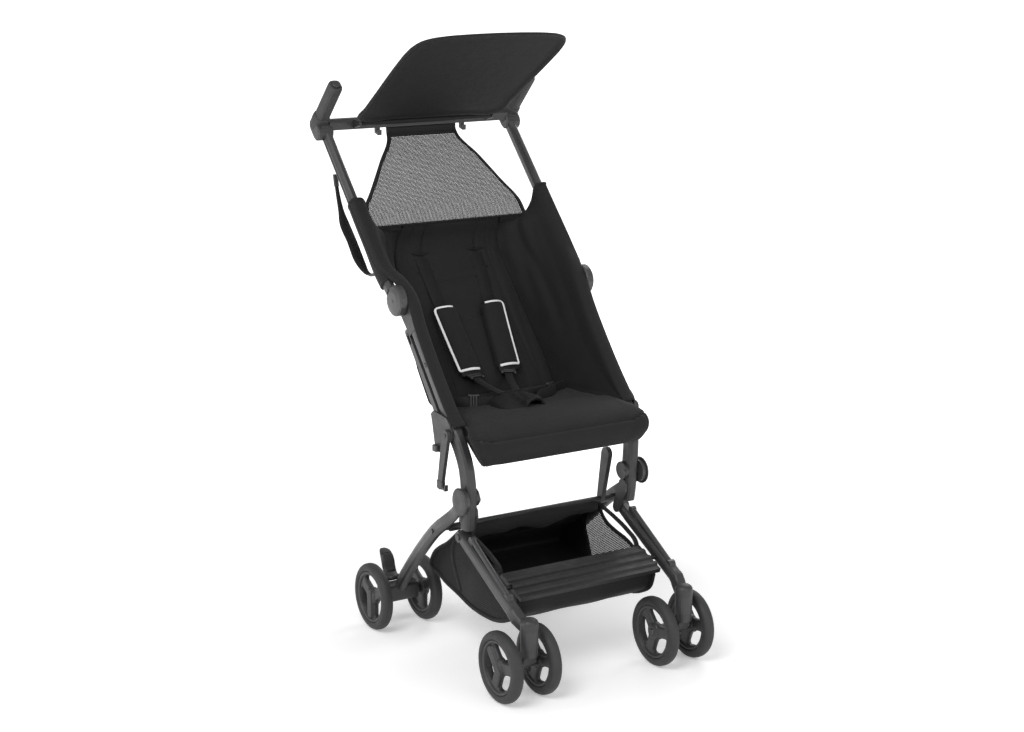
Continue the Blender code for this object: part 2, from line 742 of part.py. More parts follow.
def make_seat_back(chassis):
    """The padded back: narrower above, hollow across, with two sewn channels and a seam across."""
    across = (-1.0, -0.80, -0.62, -0.56, -0.50, -0.25, 0.0, 0.25, 0.50, 0.56, 0.62, 0.80, 1.0)
    rows = []
    count = 14
    for r in range(count + 1):
        share = r / count
        half = 0.1060 + 0.0280 * min(1.0, share * 1.25)
        row = []
        for u in across:
            channel = 0.0030 if abs(abs(u) - 0.56) < 0.01 else 0.0
            seam = 0.0025 if r == 5 and abs(u) < 0.5 else 0.0
            crown = -BACK_THICK / 2 + 0.0060 * u**6 - channel - seam
            row.append(back_point(half * u, share, crown))
        rows.append(row)
    place_node("seat_back", panel(rows, BACK_THICK), "fabric", chassis)


def make_seat_base(chassis):
    """The seat cushion, crowned on top and drawn in at its sides, rolled over at the front."""
    across = (-1.0, -0.93, -0.70, -0.35, 0.0, 0.35, 0.70, 0.93, 1.0)
    path = [(y, z) for y, z, _ in SEAT_PATH]
    rows = []
    for k, (y, z, half) in enumerate(SEAT_PATH):
        step = aside(path[max(k - 1, 0)], path[min(k + 1, len(path) - 1)], 1.0)
        row = []
        for u in across:
            edge = -0.0040 * abs(u) ** 6
            sink = -SEAT_THICK / 2 + edge
            row.append((half * u, y - step[0] * sink, z - step[1] * sink))
        rows.append(row)
    place_node("seat_base", panel(rows, SEAT_THICK), "fabric", chassis)


def make_side_wings(chassis):
    """The fabric side of the seat, from the back and the cushion out to the tubes."""
    edges = [
        ((0.1090, -0.0920, 0.7450), (0.1890, -0.1060, 0.7690)),
        ((0.1130, -0.0800, 0.7080), (0.1885, -0.1450, 0.7290)),
        ((0.1190, -0.0850, 0.6680), (0.1870, -0.1900, 0.6800)),
        ((0.1280, -0.1220, 0.6200), (0.1708, -0.2300, 0.6500)),
        ((0.1368, -0.1780, 0.5430), (0.1708, -0.2700, 0.6300)),
        ((0.1370, -0.2150, 0.4930), (0.1708, -0.3100, 0.5900)),
        ((0.1372, -0.2540, 0.4470), (0.1720, -0.3500, 0.5450)),
        ((0.1430, -0.3000, 0.4430), (0.1724, -0.3930, 0.4940)),
        ((0.1550, -0.3700, 0.4470), (0.1722, -0.4200, 0.4700)),
        ((0.1665, -0.4240, 0.4540), (0.1700, -0.4420, 0.4560)),
    ]
    rows = []
    for inner, outer in edges:
        rows.append([tuple(a + (b - a) * t for a, b in zip(inner, outer)) for t in (0.0, 0.33, 0.67, 1.0)])
    place_pair("side_wing", panel(rows, 0.0026), "fabric", chassis)


def make_head_mesh(handle):
    """The mesh panel from the handle bar down to the top of the seat."""
    path = [(-0.0960, 0.7565), (-0.0600, 0.8090), (-0.0250, 0.8610), (0.0085, 0.9050), (0.0152, 0.9205)]
    halves = (0.1650, 0.1400, 0.1050, 0.0740, 0.0720)
    lifts = (0.0100, 0.0050, 0.0, 0.0, 0.0)
    rows = []
    for (y, z), half, lift in zip(path, halves, lifts):
        row = []
        for u in (-1.0, -0.5, 0.0, 0.5, 1.0):
            row.append((half * u, y + 0.6 * lift * u * u, z + lift * u * u))
        rows.append(row)
    place_node("head_mesh", panel(rows, 0.0030), "mesh", handle)


def strap(points, width, thickness):
    """A flat strap through points (x, y, z), its width along X."""
    return panel([[(x - width / 2, y, z), (x + width / 2, y, z)] for x, y, z in points], thickness)


def make_harness(chassis):
    """Shoulder straps with their pads, the waist strap and the crotch strap."""
    for side, sign in SIDES:
        rows = [(0.185, 0.0600, 0.0040), (0.30, 0.0580, 0.0039), (0.42, 0.0550, 0.0050)]
        rows += [(0.52, 0.0515, 0.0088), (0.70, 0.0460, 0.0088), (0.88, 0.0405, 0.0088)]
        points = [back_point(sign * x, share, proud) for share, x, proud in rows]
        points.append((sign * 0.0310 - 0.0060, -0.2900, 0.4800))
        points.append((sign * 0.0160 - BUCKLE_OFF, -0.3385, 0.4680))
        place_node(f"shoulder_strap_{side}", strap(points, 0.0200, 0.0018), "webbing", chassis)
    pads = []
    for share, middle, thin in PAD_ROWS:
        row = []
        for u in (-1.0, -0.5, 0.0, 0.5, 1.0):
            row.append(back_point(middle + u * 0.0225, share, 0.0175 - thin - 0.002 * u * u))
        pads.append(row)
    place_pair("shoulder_pad", panel(pads, 0.0110), "pad", chassis)
    waist = [(-0.1300, -0.3050), (-0.0950, -0.3300), (-0.0550, -0.3366)]
    waist += [(0.0200, -0.3366), (0.0700, -0.3250), (0.1280, -0.2980)]
    rows = [[(x, y, 0.4425), (x, y, 0.4645)] for x, y in waist]
    place_node("waist_strap", panel(rows, 0.0018), "webbing", chassis)
    path = [(-0.4020, 0.4459), (-0.3850, 0.4444), (-0.3450, 0.4424)]
    crotch = [(-BUCKLE_OFF, y, z) for y, z in path]
    place_node("crotch_strap", strap(crotch, 0.0250, 0.0016), "webbing", chassis)


def make_buckle(chassis, button_axis):
    """The buckle, its push button facing forward, and the soft hood over it."""
    body = bar([(-BUCKLE_OFF, y, 0.4530, 0.0220, 0.0080) for y in (-0.3380, -0.3720)], 14, 4.0)
    well = buckle_plug(0.0060 + PIN_GAP, -0.3660, -0.3800)
    place_node("buckle", cut(body, well), "plastic", chassis)
    place_node("buckle_button", buckle_plug(0.0060, -0.3695, -0.3740), "plastic", button_axis)
    rows = []
    hoops = [(-0.3440, 0.042, 0.4646), (-0.3550, 0.045, 0.4650)]
    hoops += [(-0.3720, 0.046, 0.4650), (-0.3950, 0.040, 0.4620)]
    for y, half, height in hoops:
        row = []
        for k in range(9):
            u = -1.0 + k / 4
            row.append((-BUCKLE_OFF + half * u, y, 0.4455 + (height - 0.4455) * (1 - abs(u) ** 3.4)))
        rows.append(row)
    place_node("crotch_pad", panel(rows, 0.0050), "pad", chassis)


def buckle_plug(radius, rear, front):
    """A round piece along Y in the buckle's front face."""
    obj = turned([(front, 0.0), (front, radius), (rear, radius), (rear, 0.0)], (0.0, 0.0), 16)
    obj.data.transform(Matrix.Rotation(math.pi / 2, 4, "Z"))
    obj.data.transform(Matrix.Translation((-BUCKLE_OFF, 0.0, 0.4530)))
    return obj


def make_carry_strap(handle):
    """The webbing handle behind the right side of the frame."""
    rows = [[(-0.2020 - half, y, z), (-0.2020 + half, y, z)] for y, z, half in CARRY_PATH]
    place_node("carry_strap", panel(rows, 0.0024), "webbing", handle)


def make_rear_legs(rear):
    """The bowed rear legs: flat where they hang on their pins, round below."""
    path = smooth_stations(
        [
            (0.1880, -0.4570, 0.3170, 0.0035, 0.0118),
            (0.1880, -0.4345, 0.2930, 0.0035, 0.0118),
            (0.1880, -0.4180, 0.2790, 0.0040, 0.0118),
            (0.1875, -0.3950, 0.2625, 0.0085, 0.0120),
            (0.1870, -0.3570, 0.2360, 0.0090, 0.0120),
            (0.1810, -0.2900, 0.1780, 0.0090, 0.0120),
            (0.1720, -0.2150, 0.1065, 0.0092, 0.0120),
            (0.1680, -0.1864, 0.0736, 0.0092, 0.0112),
        ],
        2,
    )
    leg = bar(path, 12, 3.0)
    eye = rod(*REAR_FLAT_LANE, REAR_PIVOT, 0.0210, 18)
    bolt = rod(0.1880, 0.1985, (-0.3620, 0.2380), 0.0045, 10)
    hole = rod(0.15, 0.25, REAR_PIVOT, REAR_PIN_RADIUS + PIN_GAP, 14)
    socket = rod(0.15, 0.1850, STRUT_PIVOT, 0.0040 + PIN_GAP, 12)
    place_pair("rear_leg", cut(join(leg, eye, bolt), hole, socket), "frame", rear)


def make_strut(axis):
    """The bar that carries the basket, with its pin ends and two ribbed arms."""
    tube = rod(-0.1770, 0.1770, STRUT_PIVOT, 0.0070, 16)
    pins = rod(-0.1842, 0.1842, STRUT_PIVOT, 0.0040, 12)
    top = (-0.4105, 0.3440)
    pieces = []
    for _, sign in SIDES:
        lane = mirrored_lane(STRUT_LANE, sign)
        arm = plate(link_outline(top, 0.0120, STRUT_PIVOT, 0.0070, 7), lane)
        for distance in (0.010, 0.030, 0.050):
            low = along(top, STRUT_PIVOT, distance)
            high = along(top, STRUT_PIVOT, distance + 0.012)
            pocket = link_outline(low, 0.0050, high, 0.0050, 3)
            arm = cut(arm, plate(pocket, (lane[0] + 0.0035, lane[1] + 0.01)))
        pieces.append(arm)
    place_node("basket_bar", join(tube, pins, *pieces), "plastic", axis)


def make_rear_hubs(rear):
    """The barrel between each pair of rear wheels, its axle ends, and the pedal's ears on the right."""
    inner = REAR_WHEEL_X[0] + TYRE_HALF + 0.0020
    outer = REAR_WHEEL_X[1] - TYRE_HALF - 0.0020
    profile = [
        (REAR_WHEEL_X[0] - HUB_HALF, 0.0),
        (REAR_WHEEL_X[0] - HUB_HALF, AXLE_RADIUS),
        (REAR_WHEEL_X[0] + HUB_HALF + GAP, AXLE_RADIUS),
        (REAR_WHEEL_X[0] + HUB_HALF + GAP, 0.0090),
        (inner, 0.0105),
        (inner + 0.0050, 0.0130),
        (outer - 0.0050, 0.0130),
        (outer, 0.0105),
        (REAR_WHEEL_X[1] - HUB_HALF - GAP, 0.0090),
        (REAR_WHEEL_X[1] - HUB_HALF - GAP, AXLE_RADIUS),
        (REAR_WHEEL_X[1] + HUB_HALF, AXLE_RADIUS),
        (REAR_WHEEL_X[1] + HUB_HALF, 0.0),
    ]
    for side, sign in SIDES:
        hub = turned(profile, REAR_AXLE, 16)
        if sign < 0:
            hub.data.transform(Matrix.Scale(-1, 4, (1, 0, 0)))
            hub.data.flip_normals()
            ear = link_outline((-0.1740, 0.0700), 0.0070, PEDAL_PIVOT, 0.0055, 5)
            ears = [plate(ear, (low, low + 0.0040)) for low in (-0.1880, -0.1540)]
            hub = join(hub, *ears, rod(-0.1860, -0.1520, PEDAL_PIVOT, 0.0022, 10))
        place_node(f"rear_hub_{side}", cut(hub, rear_leg_foot(sign)), "plastic", rear)


def rear_leg_foot(sign):
    """The room that a rear leg's foot needs in its hub."""
    ends = (0.1720, -0.2150, 0.1065, 0.0098, 0.0126), (0.1679, -0.1861, 0.0732, 0.0098, 0.0120)
    return bar([(sign * x, *rest) for x, *rest in ends], 14, 3.0)


def make_brake_pedal(axis):
    """The curved foot lever behind the right pair of rear wheels."""
    path = smooth_stations(
        [
            (-0.1690, -0.1595, 0.0868, 0.0135, 0.0030),
            (-0.1690, -0.1440, 0.0940, 0.0135, 0.0030),
            (-0.1690, -0.1370, 0.1080, 0.0135, 0.0028),
            (-0.1690, -0.1350, 0.1290, 0.0120, 0.0025),
        ],
        2,
    )
    eye = rod(-0.1835, -0.1505, PEDAL_PIVOT, 0.0050, 14)
    ends = (-0.1900, -0.1830), (-0.1545, -0.1400)
    eye = cut(eye, *(rod(low, high, PEDAL_PIVOT, 0.0100) for low, high in ends))
    hole = rod(-0.20, -0.12, PEDAL_PIVOT, 0.0022 + PIN_GAP, 10)
    place_node("brake_pedal", cut(join(bar(path, 8, 4.0), eye), hole), "plastic", axis)


def make_basket(rear):
    """The fabric basket under the seat, open at the top."""
    profile = list(BASKET_PROFILE)
    rim = [(-0.5220, 0.1860), (-0.4800, 0.1950), (-0.4300, 0.2050)]
    outer = plate(profile + rim, (-BASKET_HALF_X, BASKET_HALF_X))
    inset = inset_outline(profile, BASKET_WALL)
    mouth = [(-0.6000, 0.2300), (-0.4100, 0.3200)]
    hollow = plate(inset + mouth, (BASKET_WALL - BASKET_HALF_X, BASKET_HALF_X - BASKET_WALL))
    place_node("basket", cut(outer, hollow), "fabric", rear)


def inset_outline(outline, wall):
    """The open outline moved inwards by the wall, its ends run on past the mouth."""
    moved = []
    for k, point in enumerate(outline):
        before = outline[max(k - 1, 0)]
        after = outline[min(k + 1, len(outline) - 1)]
        step = aside(before, after, -wall)
        moved.append((point[0] + step[0], point[1] + step[1]))
    first = along(moved[0], moved[1], -0.03)
    last = along(moved[-1], moved[-2], -0.03)
    return [first] + moved + [last]


def make_front_legs(front):
    """The lower front legs: the main bar on its knee eye, and the thin rail above it."""
    end = (-0.5980, 0.1570)
    main = bar(
        [
            (0.1720, *along(KNEE, end, 0.0030), 0.0098, 0.0095),
            (0.1720, *along(KNEE, end, 0.0300), 0.0100, 0.0110),
            (0.1720, *end, 0.0100, 0.0115),
        ],
        12,
        3.6,
    )
    eye = rod(0.1620, 0.1820, KNEE, 0.0100, 18)
    rail_top, rail_end = (-0.4620, 0.2475), (-0.5885, 0.1735)
    rail = bar([(0.1720, *rail_top, 0.0050, 0.0050), (0.1720, *rail_end, 0.0050, 0.0050)], 10, 2.0)
    upper_tie = link_outline((-0.4620, 0.2270), 0.0070, (-0.4640, 0.2462), 0.0058, 5)
    lower_tie = link_outline((-0.5860, 0.1632), 0.0080, (-0.5840, 0.1762), 0.0065, 5)
    ties = [plate(upper_tie, (0.1670, 0.1770)), plate(lower_tie, (0.1655, 0.1785))]
    hole = rod(0.10, 0.25, KNEE, KNEE_PIN_RADIUS + PIN_GAP, 14)
    place_pair("front_leg", cut(join(main, eye, rail, *ties), hole), "frame", front)


def make_footrest(front):
    """The ribbed step between the front legs, with a stub at each end."""
    length = math.dist(FOOTREST_REAR, FOOTREST_FRONT)
    surface = [FOOTREST_REAR]
    for k in range(3):
        for distance, height in ((0.0, 0.0), (0.0035, 0.0030), (0.0095, 0.0030), (0.0130, 0.0)):
            place = along(FOOTREST_REAR, FOOTREST_FRONT, 0.010 + 0.019 * k + distance)
            step = aside(FOOTREST_FRONT, FOOTREST_REAR, height)
            surface.append((place[0] + step[0], place[1] + step[1]))
    surface.append(FOOTREST_FRONT)
    step = aside(FOOTREST_FRONT, FOOTREST_REAR, -0.0080)
    under = [(y + step[0], z + step[1]) for y, z in (FOOTREST_FRONT, FOOTREST_REAR)]
    step_plate = plate(surface + under, (-FOOTREST_HALF_X, FOOTREST_HALF_X))
    middle = along(FOOTREST_REAR, FOOTREST_FRONT, length * 0.45)
    stub = rod(-0.1617, 0.1617, (middle[0], middle[1] - 0.0045), 0.0042, 14)
    place_node("footrest", join(step_plate, stub), "plastic", front)


def make_caster_sockets(front):
    """The moulding at each front leg's foot that holds the upright caster bearing."""
    end = (-0.5980, 0.1570)
    start = along(end, KNEE, -GAP)
    arm = bar(
        [
            (0.1720, *start, 0.0108, 0.0122),
            (0.1720, *along(end, KNEE, -0.0050), 0.0108, 0.0124),
            (0.1700, -0.6120, 0.1460, 0.0112, 0.0125),
            (0.1640, -0.6300, 0.1340, 0.0108, 0.0110),
        ],
        14,
        3.4,
    )
    post = upright((CASTER_X, CASTER_Y), CASTER_BOTTOM, CASTER_TOP, CASTER_RADIUS, 20, 0.004)
    bore = upright((CASTER_X, CASTER_Y), 0.05, CASTER_BOTTOM + 0.0280, STEM_RADIUS + PIN_GAP, 16)
    place_pair("caster_socket", cut(join(arm, post), bore), "plastic", front)


def make_caster_forks(axes):
    """The swivelling yoke, with its stem above and its axle across."""
    stem = upright((CASTER_X, CASTER_Y), 0.0900, CASTER_BOTTOM + 0.0260, STEM_RADIUS, 16)
    collar = upright((CASTER_X, CASTER_Y), 0.0860, CASTER_BOTTOM - 0.0005, 0.0145, 20)
    neck = bar(
        [
            (CASTER_X, CASTER_Y, 0.0960, 0.0130, 0.0110),
            (CASTER_X, -0.6300, 0.0800, 0.0170, 0.0130),
            (CASTER_X, -0.6100, 0.0640, 0.0190, 0.0110),
        ],
        12,
        3.2,
    )
    inner = FRONT_WHEEL_X[0] + HUB_HALF + GAP
    outer = FRONT_WHEEL_X[1] - HUB_HALF - GAP
    profile = [
        (FRONT_WHEEL_X[0] - HUB_HALF, 0.0),
        (FRONT_WHEEL_X[0] - HUB_HALF, AXLE_RADIUS),
        (inner, AXLE_RADIUS),
        (inner, 0.0100),
        (outer, 0.0100),
        (outer, AXLE_RADIUS),
        (FRONT_WHEEL_X[1] + HUB_HALF, AXLE_RADIUS),
        (FRONT_WHEEL_X[1] + HUB_HALF, 0.0),
    ]
    barrel = turned(profile, FRONT_AXLE, 14)
    place_pair("caster_fork", join(neck, collar, stem, barrel), "plastic", axes)


def wheel_mesh():
    """A wheel about X at the origin: tyre, rim, and a web with three openings between wide spokes."""
    centre = WHEEL_RADIUS - TYRE_HALF
    profile = [(-HUB_HALF, AXLE_RADIUS + PIN_GAP), (-HUB_HALF, HUB_RADIUS - 0.0020)]
    profile += [(-HUB_HALF + 0.0020, HUB_RADIUS), (-0.0055, HUB_RADIUS + 0.0030)]
    profile += [(-0.0055, RIM_RADIUS - 0.0060), (-0.0085, RIM_RADIUS - 0.0010)]
    rise = len(profile)
    for k in range(5):
        angle = math.pi * (1.12 - 1.24 * k / 4)
        profile.append((TYRE_HALF * math.cos(angle), centre + TYRE_HALF * math.sin(angle)))
    profile += [(-x, r) for x, r in reversed(profile[:rise])]
    wheel = turned(profile, (0.0, 0.0), WHEEL_SIDES)
    cutters = []
    for k in range(3):
        middle = 90 + 120 * k
        outer = arc((0.0, 0.0), RIM_RADIUS - 0.0075, middle - 36, middle + 36, 6)
        inner = arc((0.0, 0.0), HUB_RADIUS + 0.0055, middle + 16, middle - 16, 3)
        cutters.append(plate(outer + inner, (-0.02, 0.02)))
    return cut(wheel, *cutters).data


def make_wheels(mesh, name, axle, places, empties, turn=0.0):
    """Two wheels side by side at each corner, each on its own axis, rolled on by turn degrees."""
    for side, sign in SIDES:
        for position, x in zip(("inner", "outer"), places):
            obj = object_of(mesh.copy())
            obj.data.transform(Matrix.Rotation(math.radians(turn), 4, "X"))
            obj.data.transform(Matrix.Translation((sign * x, axle[0], axle[1])))
            key = f"{name}_{side}_{position}"
            place_node(key, obj, "tyre", axis_empty(f"{key}_axis", axle, empties[side], sign * x))


clear_scene()
STROLLER = new_collection("travel_stroller")
WORKSHOP = new_collection("workshop")
WORKSHOP.hide_render = True

chassis = axis_empty("chassis", (0.0, 0.0))
chassis.location.y = CENTRE_SHIFT
bpy.context.view_layer.update()
handle = axis_empty("handle_fold_axis", FOLD, chassis)
rear = axis_empty("rear_leg_fold_axis", REAR_PIVOT, chassis)
front = axis_empty("front_leg_fold_axis", KNEE, chassis)
strut = axis_empty("strut_fold_axis", STRUT_PIVOT, rear)
canopy = axis_empty("canopy_axis", CANOPY_HINGE, handle)
pedal = axis_empty("brake_pedal_axis", PEDAL_PIVOT, rear)
buckle_axis = axis_empty("buckle_button_axis", (-0.3740, 0.4530), chassis, -BUCKLE_OFF)
sides = {"button": {}, "link": {}, "bar": {}, "caster": {}, "rear": {}}
BAR_TOP = side_bar_place(0.0)
CASTER_FOOT = (CASTER_Y, CASTER_BOTTOM)
for side, sign in SIDES:
    sides["button"][side] = axis_empty(f"release_button_axis_{side}", GRIP_TIP, handle, sign * GRIP_X)
    sides["link"][side] = axis_empty(f"latch_link_axis_{side}", LATCH_PIVOT, chassis, sign * LATCH_LANE[0])
    sides["bar"][side] = axis_empty(f"side_bar_axis_{side}", BAR_TOP, chassis, sign * SIDE_BAR_LANE[0])
    sides["caster"][side] = axis_empty(f"caster_axis_{side}", CASTER_FOOT, front, sign * CASTER_X)
    sides["rear"][side] = rear

make_lower_tubes(chassis)
make_pivot_housings(chassis)
make_upper_legs(chassis)
make_rear_pivot_caps(chassis)
make_seat_brackets(chassis)
make_seat_frame(chassis)
make_seat_back(chassis)
make_seat_base(chassis)
make_side_wings(chassis)
make_harness(chassis)
make_buckle(chassis, buckle_axis)
make_side_bars(sides["bar"])
make_latch_links(sides["link"])
make_upper_tubes(handle)
make_crossbar(handle)
make_grips(handle)
make_release_buttons(sides["button"])
make_canopy(canopy)
make_head_mesh(handle)
make_carry_strap(handle)
make_rear_legs(rear)
make_strut(strut)
make_rear_hubs(rear)
make_brake_pedal(pedal)
make_basket(rear)
make_front_legs(front)
make_footrest(front)
make_caster_sockets(front)
make_caster_forks(sides["caster"])
wheel = wheel_mesh()
make_wheels(wheel, "rear_wheel", REAR_AXLE, REAR_WHEEL_X, sides["rear"])
make_wheels(wheel, "front_wheel", FRONT_AXLE, FRONT_WHEEL_X, sides["caster"], FRONT_WHEEL_TURN)
for obj in list(WORKSHOP.objects):
    bpy.data.objects.remove(obj)
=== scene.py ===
"""Looks of the travel stroller: fabric, webbing, nets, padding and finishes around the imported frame."""

import json
import math

import bmesh
import bpy
import numpy as np
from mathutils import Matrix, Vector


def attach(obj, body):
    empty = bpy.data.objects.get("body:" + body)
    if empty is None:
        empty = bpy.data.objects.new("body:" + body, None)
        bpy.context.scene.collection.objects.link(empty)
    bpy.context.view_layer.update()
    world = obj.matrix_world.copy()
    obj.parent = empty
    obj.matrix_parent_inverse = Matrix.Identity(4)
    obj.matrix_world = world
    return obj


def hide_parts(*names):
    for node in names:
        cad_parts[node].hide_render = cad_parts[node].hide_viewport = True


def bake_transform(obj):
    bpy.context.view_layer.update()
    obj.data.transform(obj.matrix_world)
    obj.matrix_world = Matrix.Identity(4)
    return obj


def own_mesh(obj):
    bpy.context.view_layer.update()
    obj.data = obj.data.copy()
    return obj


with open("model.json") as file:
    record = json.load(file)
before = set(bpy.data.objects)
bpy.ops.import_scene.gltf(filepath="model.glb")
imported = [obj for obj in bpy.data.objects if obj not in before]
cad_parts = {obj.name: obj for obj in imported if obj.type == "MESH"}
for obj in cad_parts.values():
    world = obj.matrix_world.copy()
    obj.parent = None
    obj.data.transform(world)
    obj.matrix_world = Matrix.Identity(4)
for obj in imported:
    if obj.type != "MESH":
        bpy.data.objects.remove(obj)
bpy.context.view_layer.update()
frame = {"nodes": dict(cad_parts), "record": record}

# Measures are given as in the part's source, with Y counted from a point behind the middle
SHIFT = 0.3101
FOLD = (-0.25, 0.6415)
CANOPY_HINGE = (-0.008, 0.935)
CANOPY_FRONT = (-0.277, 1.109)
BACK_PATH = ((-0.094, 0.748), (-0.08, 0.715), (-0.081, 0.681), (-0.105, 0.646),
             (-0.174, 0.546), (-0.243, 0.455), (-0.2524, 0.443))
WHEEL_RADIUS = 0.0635
SIDES = (("left", 1), ("right", -1))
BUCKLE_X = -0.02
FLOOR_GLOW = 0.3
WIDEST_NET = 0.4


# Materials

def node_tree(name):
    made = bpy.data.materials.new(name)
    made.use_nodes = True
    tree = made.node_tree
    shader = tree.nodes["Principled BSDF"]
    place = tree.nodes.new("ShaderNodeTexCoord").outputs["Object"]
    return made, tree, shader, place


def put(made, values):
    for name, value in values.items():
        made.inputs[name].default_value = value


def noise(tree, place, scale, detail=2.0, rough=0.5):
    made = tree.nodes.new("ShaderNodeTexNoise")
    put(made, {"Scale": scale, "Detail": detail, "Roughness": rough})
    tree.links.new(place, made.inputs["Vector"])
    return made.outputs["Fac"]


def remap(tree, value, low, high, start=0.3, end=0.7):
    made = tree.nodes.new("ShaderNodeMapRange")
    put(made, {"From Min": start, "From Max": end, "To Min": low, "To Max": high})
    tree.links.new(value, made.inputs["Value"])
    return made.outputs["Result"]


def calculate(tree, kind, first, second):
    made = tree.nodes.new("ShaderNodeMath")
    made.operation = kind
    for socket, value in zip(made.inputs, (first, second)):
        if isinstance(value, (int, float)):
            socket.default_value = value
        else:
            tree.links.new(value, socket)
    return made.outputs["Value"]


def mix_colour(tree, share, low, high):
    made = tree.nodes.new("ShaderNodeMix")
    made.data_type = "RGBA"
    tree.links.new(share, made.inputs["Factor"])
    for key, value in (("A", low), ("B", high)):
        socket = [s for s in made.inputs if s.name == key and s.type == "RGBA"][0]
        if isinstance(value, tuple):
            socket.default_value = (*value, 1.0)
        else:
            tree.links.new(value, socket)
    return [s for s in made.outputs if s.type == "RGBA"][0]


def bump(tree, height, strength, distance, before=None):
    made = tree.nodes.new("ShaderNodeBump")
    put(made, {"Strength": strength, "Distance": distance})
    tree.links.new(height, made.inputs["Height"])
    if before is not None:
        tree.links.new(before, made.inputs["Normal"])
    return made.outputs["Normal"]


def shade(colour, factor):
    return tuple(min(1.0, c * factor) for c in colour)


def tinted(tree, share, colour, mottle):
    return mix_colour(tree, share, shade(colour, 1 - mottle), shade(colour, 1 + mottle))


def moulded(name, colour, roughness, grain=0.35, grain_scale=1400.0, mottle=0.1, coat=0.0):
    """Plastic, paint or rubber: fine grain, faint colour changes, and worn lighter edges."""
    made, tree, shader, place = node_tree(name)
    patches = noise(tree, place, 22.0, 3.0)
    base = tinted(tree, remap(tree, patches, 0.0, 1.0), colour, mottle)
    edges = tree.nodes.new("ShaderNodeNewGeometry").outputs["Pointiness"]
    worn = calculate(tree, "MULTIPLY", remap(tree, edges, 0.0, 0.5, 0.54, 0.62), remap(tree, patches, 0.5, 1.0))
    tree.links.new(mix_colour(tree, worn, base, shade(colour, 1.9)), shader.inputs["Base Color"])
    rough = remap(tree, noise(tree, place, 60.0, 4.0), roughness - 0.05, roughness + 0.07)
    tree.links.new(rough, shader.inputs["Roughness"])
    fine = noise(tree, place, grain_scale, 2.0, 0.6)
    tree.links.new(bump(tree, fine, grain, 0.0002), shader.inputs["Normal"])
    put(shader, {"Coat Weight": coat, "Coat Roughness": 0.35})
    return made


def woven(name, colour, roughness=0.78, pitch=0.0007, depth=0.00012, sheen=0.12, mottle=0.14, ribs=0.0):
    """Cloth or webbing: two crossed sets of threads with uneven dye, or ribs along the strap."""
    made, tree, shader, place = node_tree(name)
    split = tree.nodes.new("ShaderNodeSeparateXYZ")
    tree.links.new(place, split.inputs["Vector"])
    x, y, z = split.outputs

    def waves(value, length):
        return calculate(tree, "SINE", calculate(tree, "MULTIPLY", value, 2 * math.pi / length), 0.0)

    lean = calculate(tree, "ADD", calculate(tree, "MULTIPLY", y, 0.8), calculate(tree, "MULTIPLY", z, 0.6))
    threads = waves(lean, ribs) if ribs else calculate(tree, "MULTIPLY", waves(x, pitch), waves(lean, pitch))
    patches = noise(tree, place, 30.0, 4.0, 0.6)
    fuzz = noise(tree, place, 900.0, 2.0)
    share = calculate(tree, "ADD", remap(tree, patches, 0.0, 0.7), remap(tree, threads, 0.0, 0.3, -1.0, 1.0))
    tree.links.new(tinted(tree, share, colour, mottle), shader.inputs["Base Color"])
    tree.links.new(remap(tree, fuzz, roughness - 0.06, roughness + 0.08), shader.inputs["Roughness"])
    creases = bump(tree, noise(tree, place, 45.0, 3.0, 0.55), 0.16, 0.004)
    tree.links.new(bump(tree, threads, 0.5, depth, creases), shader.inputs["Normal"])
    put(shader, {"Specular IOR Level": 0.3, "Sheen Weight": sheen, "Sheen Roughness": 0.45})
    return made


PAINT = moulded("satin_powder_coat", (0.036, 0.036, 0.038), 0.4, grain=0.22, grain_scale=2200.0, mottle=0.06,
               coat=0.12)
PLASTIC = moulded("moulded_plastic", (0.03, 0.03, 0.032), 0.46, grain=0.45)
FOAM = moulded("foam_grip", (0.036, 0.036, 0.038), 0.66, grain=0.8, grain_scale=700.0)
RIM = moulded("wheel_plastic", (0.036, 0.036, 0.038), 0.44, grain=0.4)
TYRE = moulded("tyre_foam", (0.03, 0.03, 0.032), 0.62, grain=0.5, grain_scale=1000.0)
STEP = moulded("ribbed_step_plastic", (0.0052, 0.0052, 0.0056), 0.5, grain=0.45)
STEEL = moulded("dark_steel", (0.1, 0.1, 0.105), 0.3, grain=0.1)
STEEL.node_tree.nodes["Principled BSDF"].inputs["Metallic"].default_value = 1.0
CLOTH = woven("seat_cloth", (0.0105, 0.0105, 0.011), sheen=0.05)
LINING = woven("smooth_lining", (0.0085, 0.0085, 0.0088), roughness=0.7, pitch=0.0005, depth=0.00006, sheen=0.02,
               mottle=0.08)
VISOR = woven("visor_cloth", (0.0035, 0.0035, 0.0037), roughness=0.8, pitch=0.0006, depth=0.00008, sheen=0.01,
              mottle=0.08)
TRIM = woven("binding_tape", (0.007, 0.007, 0.0074), roughness=0.66, pitch=0.0009, sheen=0.04)
WEBBING = woven("ribbed_webbing", (0.006, 0.006, 0.0063), roughness=0.62, ribs=0.0016, depth=0.0003, sheen=0.05)
PIPING = woven("reflective_piping", (0.86, 0.86, 0.86), roughness=0.5, pitch=0.001, mottle=0.03, sheen=0.0)
THREAD = woven("net_thread", (0.06, 0.06, 0.062), roughness=0.7, pitch=0.0008, mottle=0.25, sheen=0.15)
DARK_THREAD = woven("basket_net_thread", (0.0085, 0.0085, 0.009), roughness=0.74, pitch=0.0008, mottle=0.25,
                    sheen=0.15)


# Geometry helpers

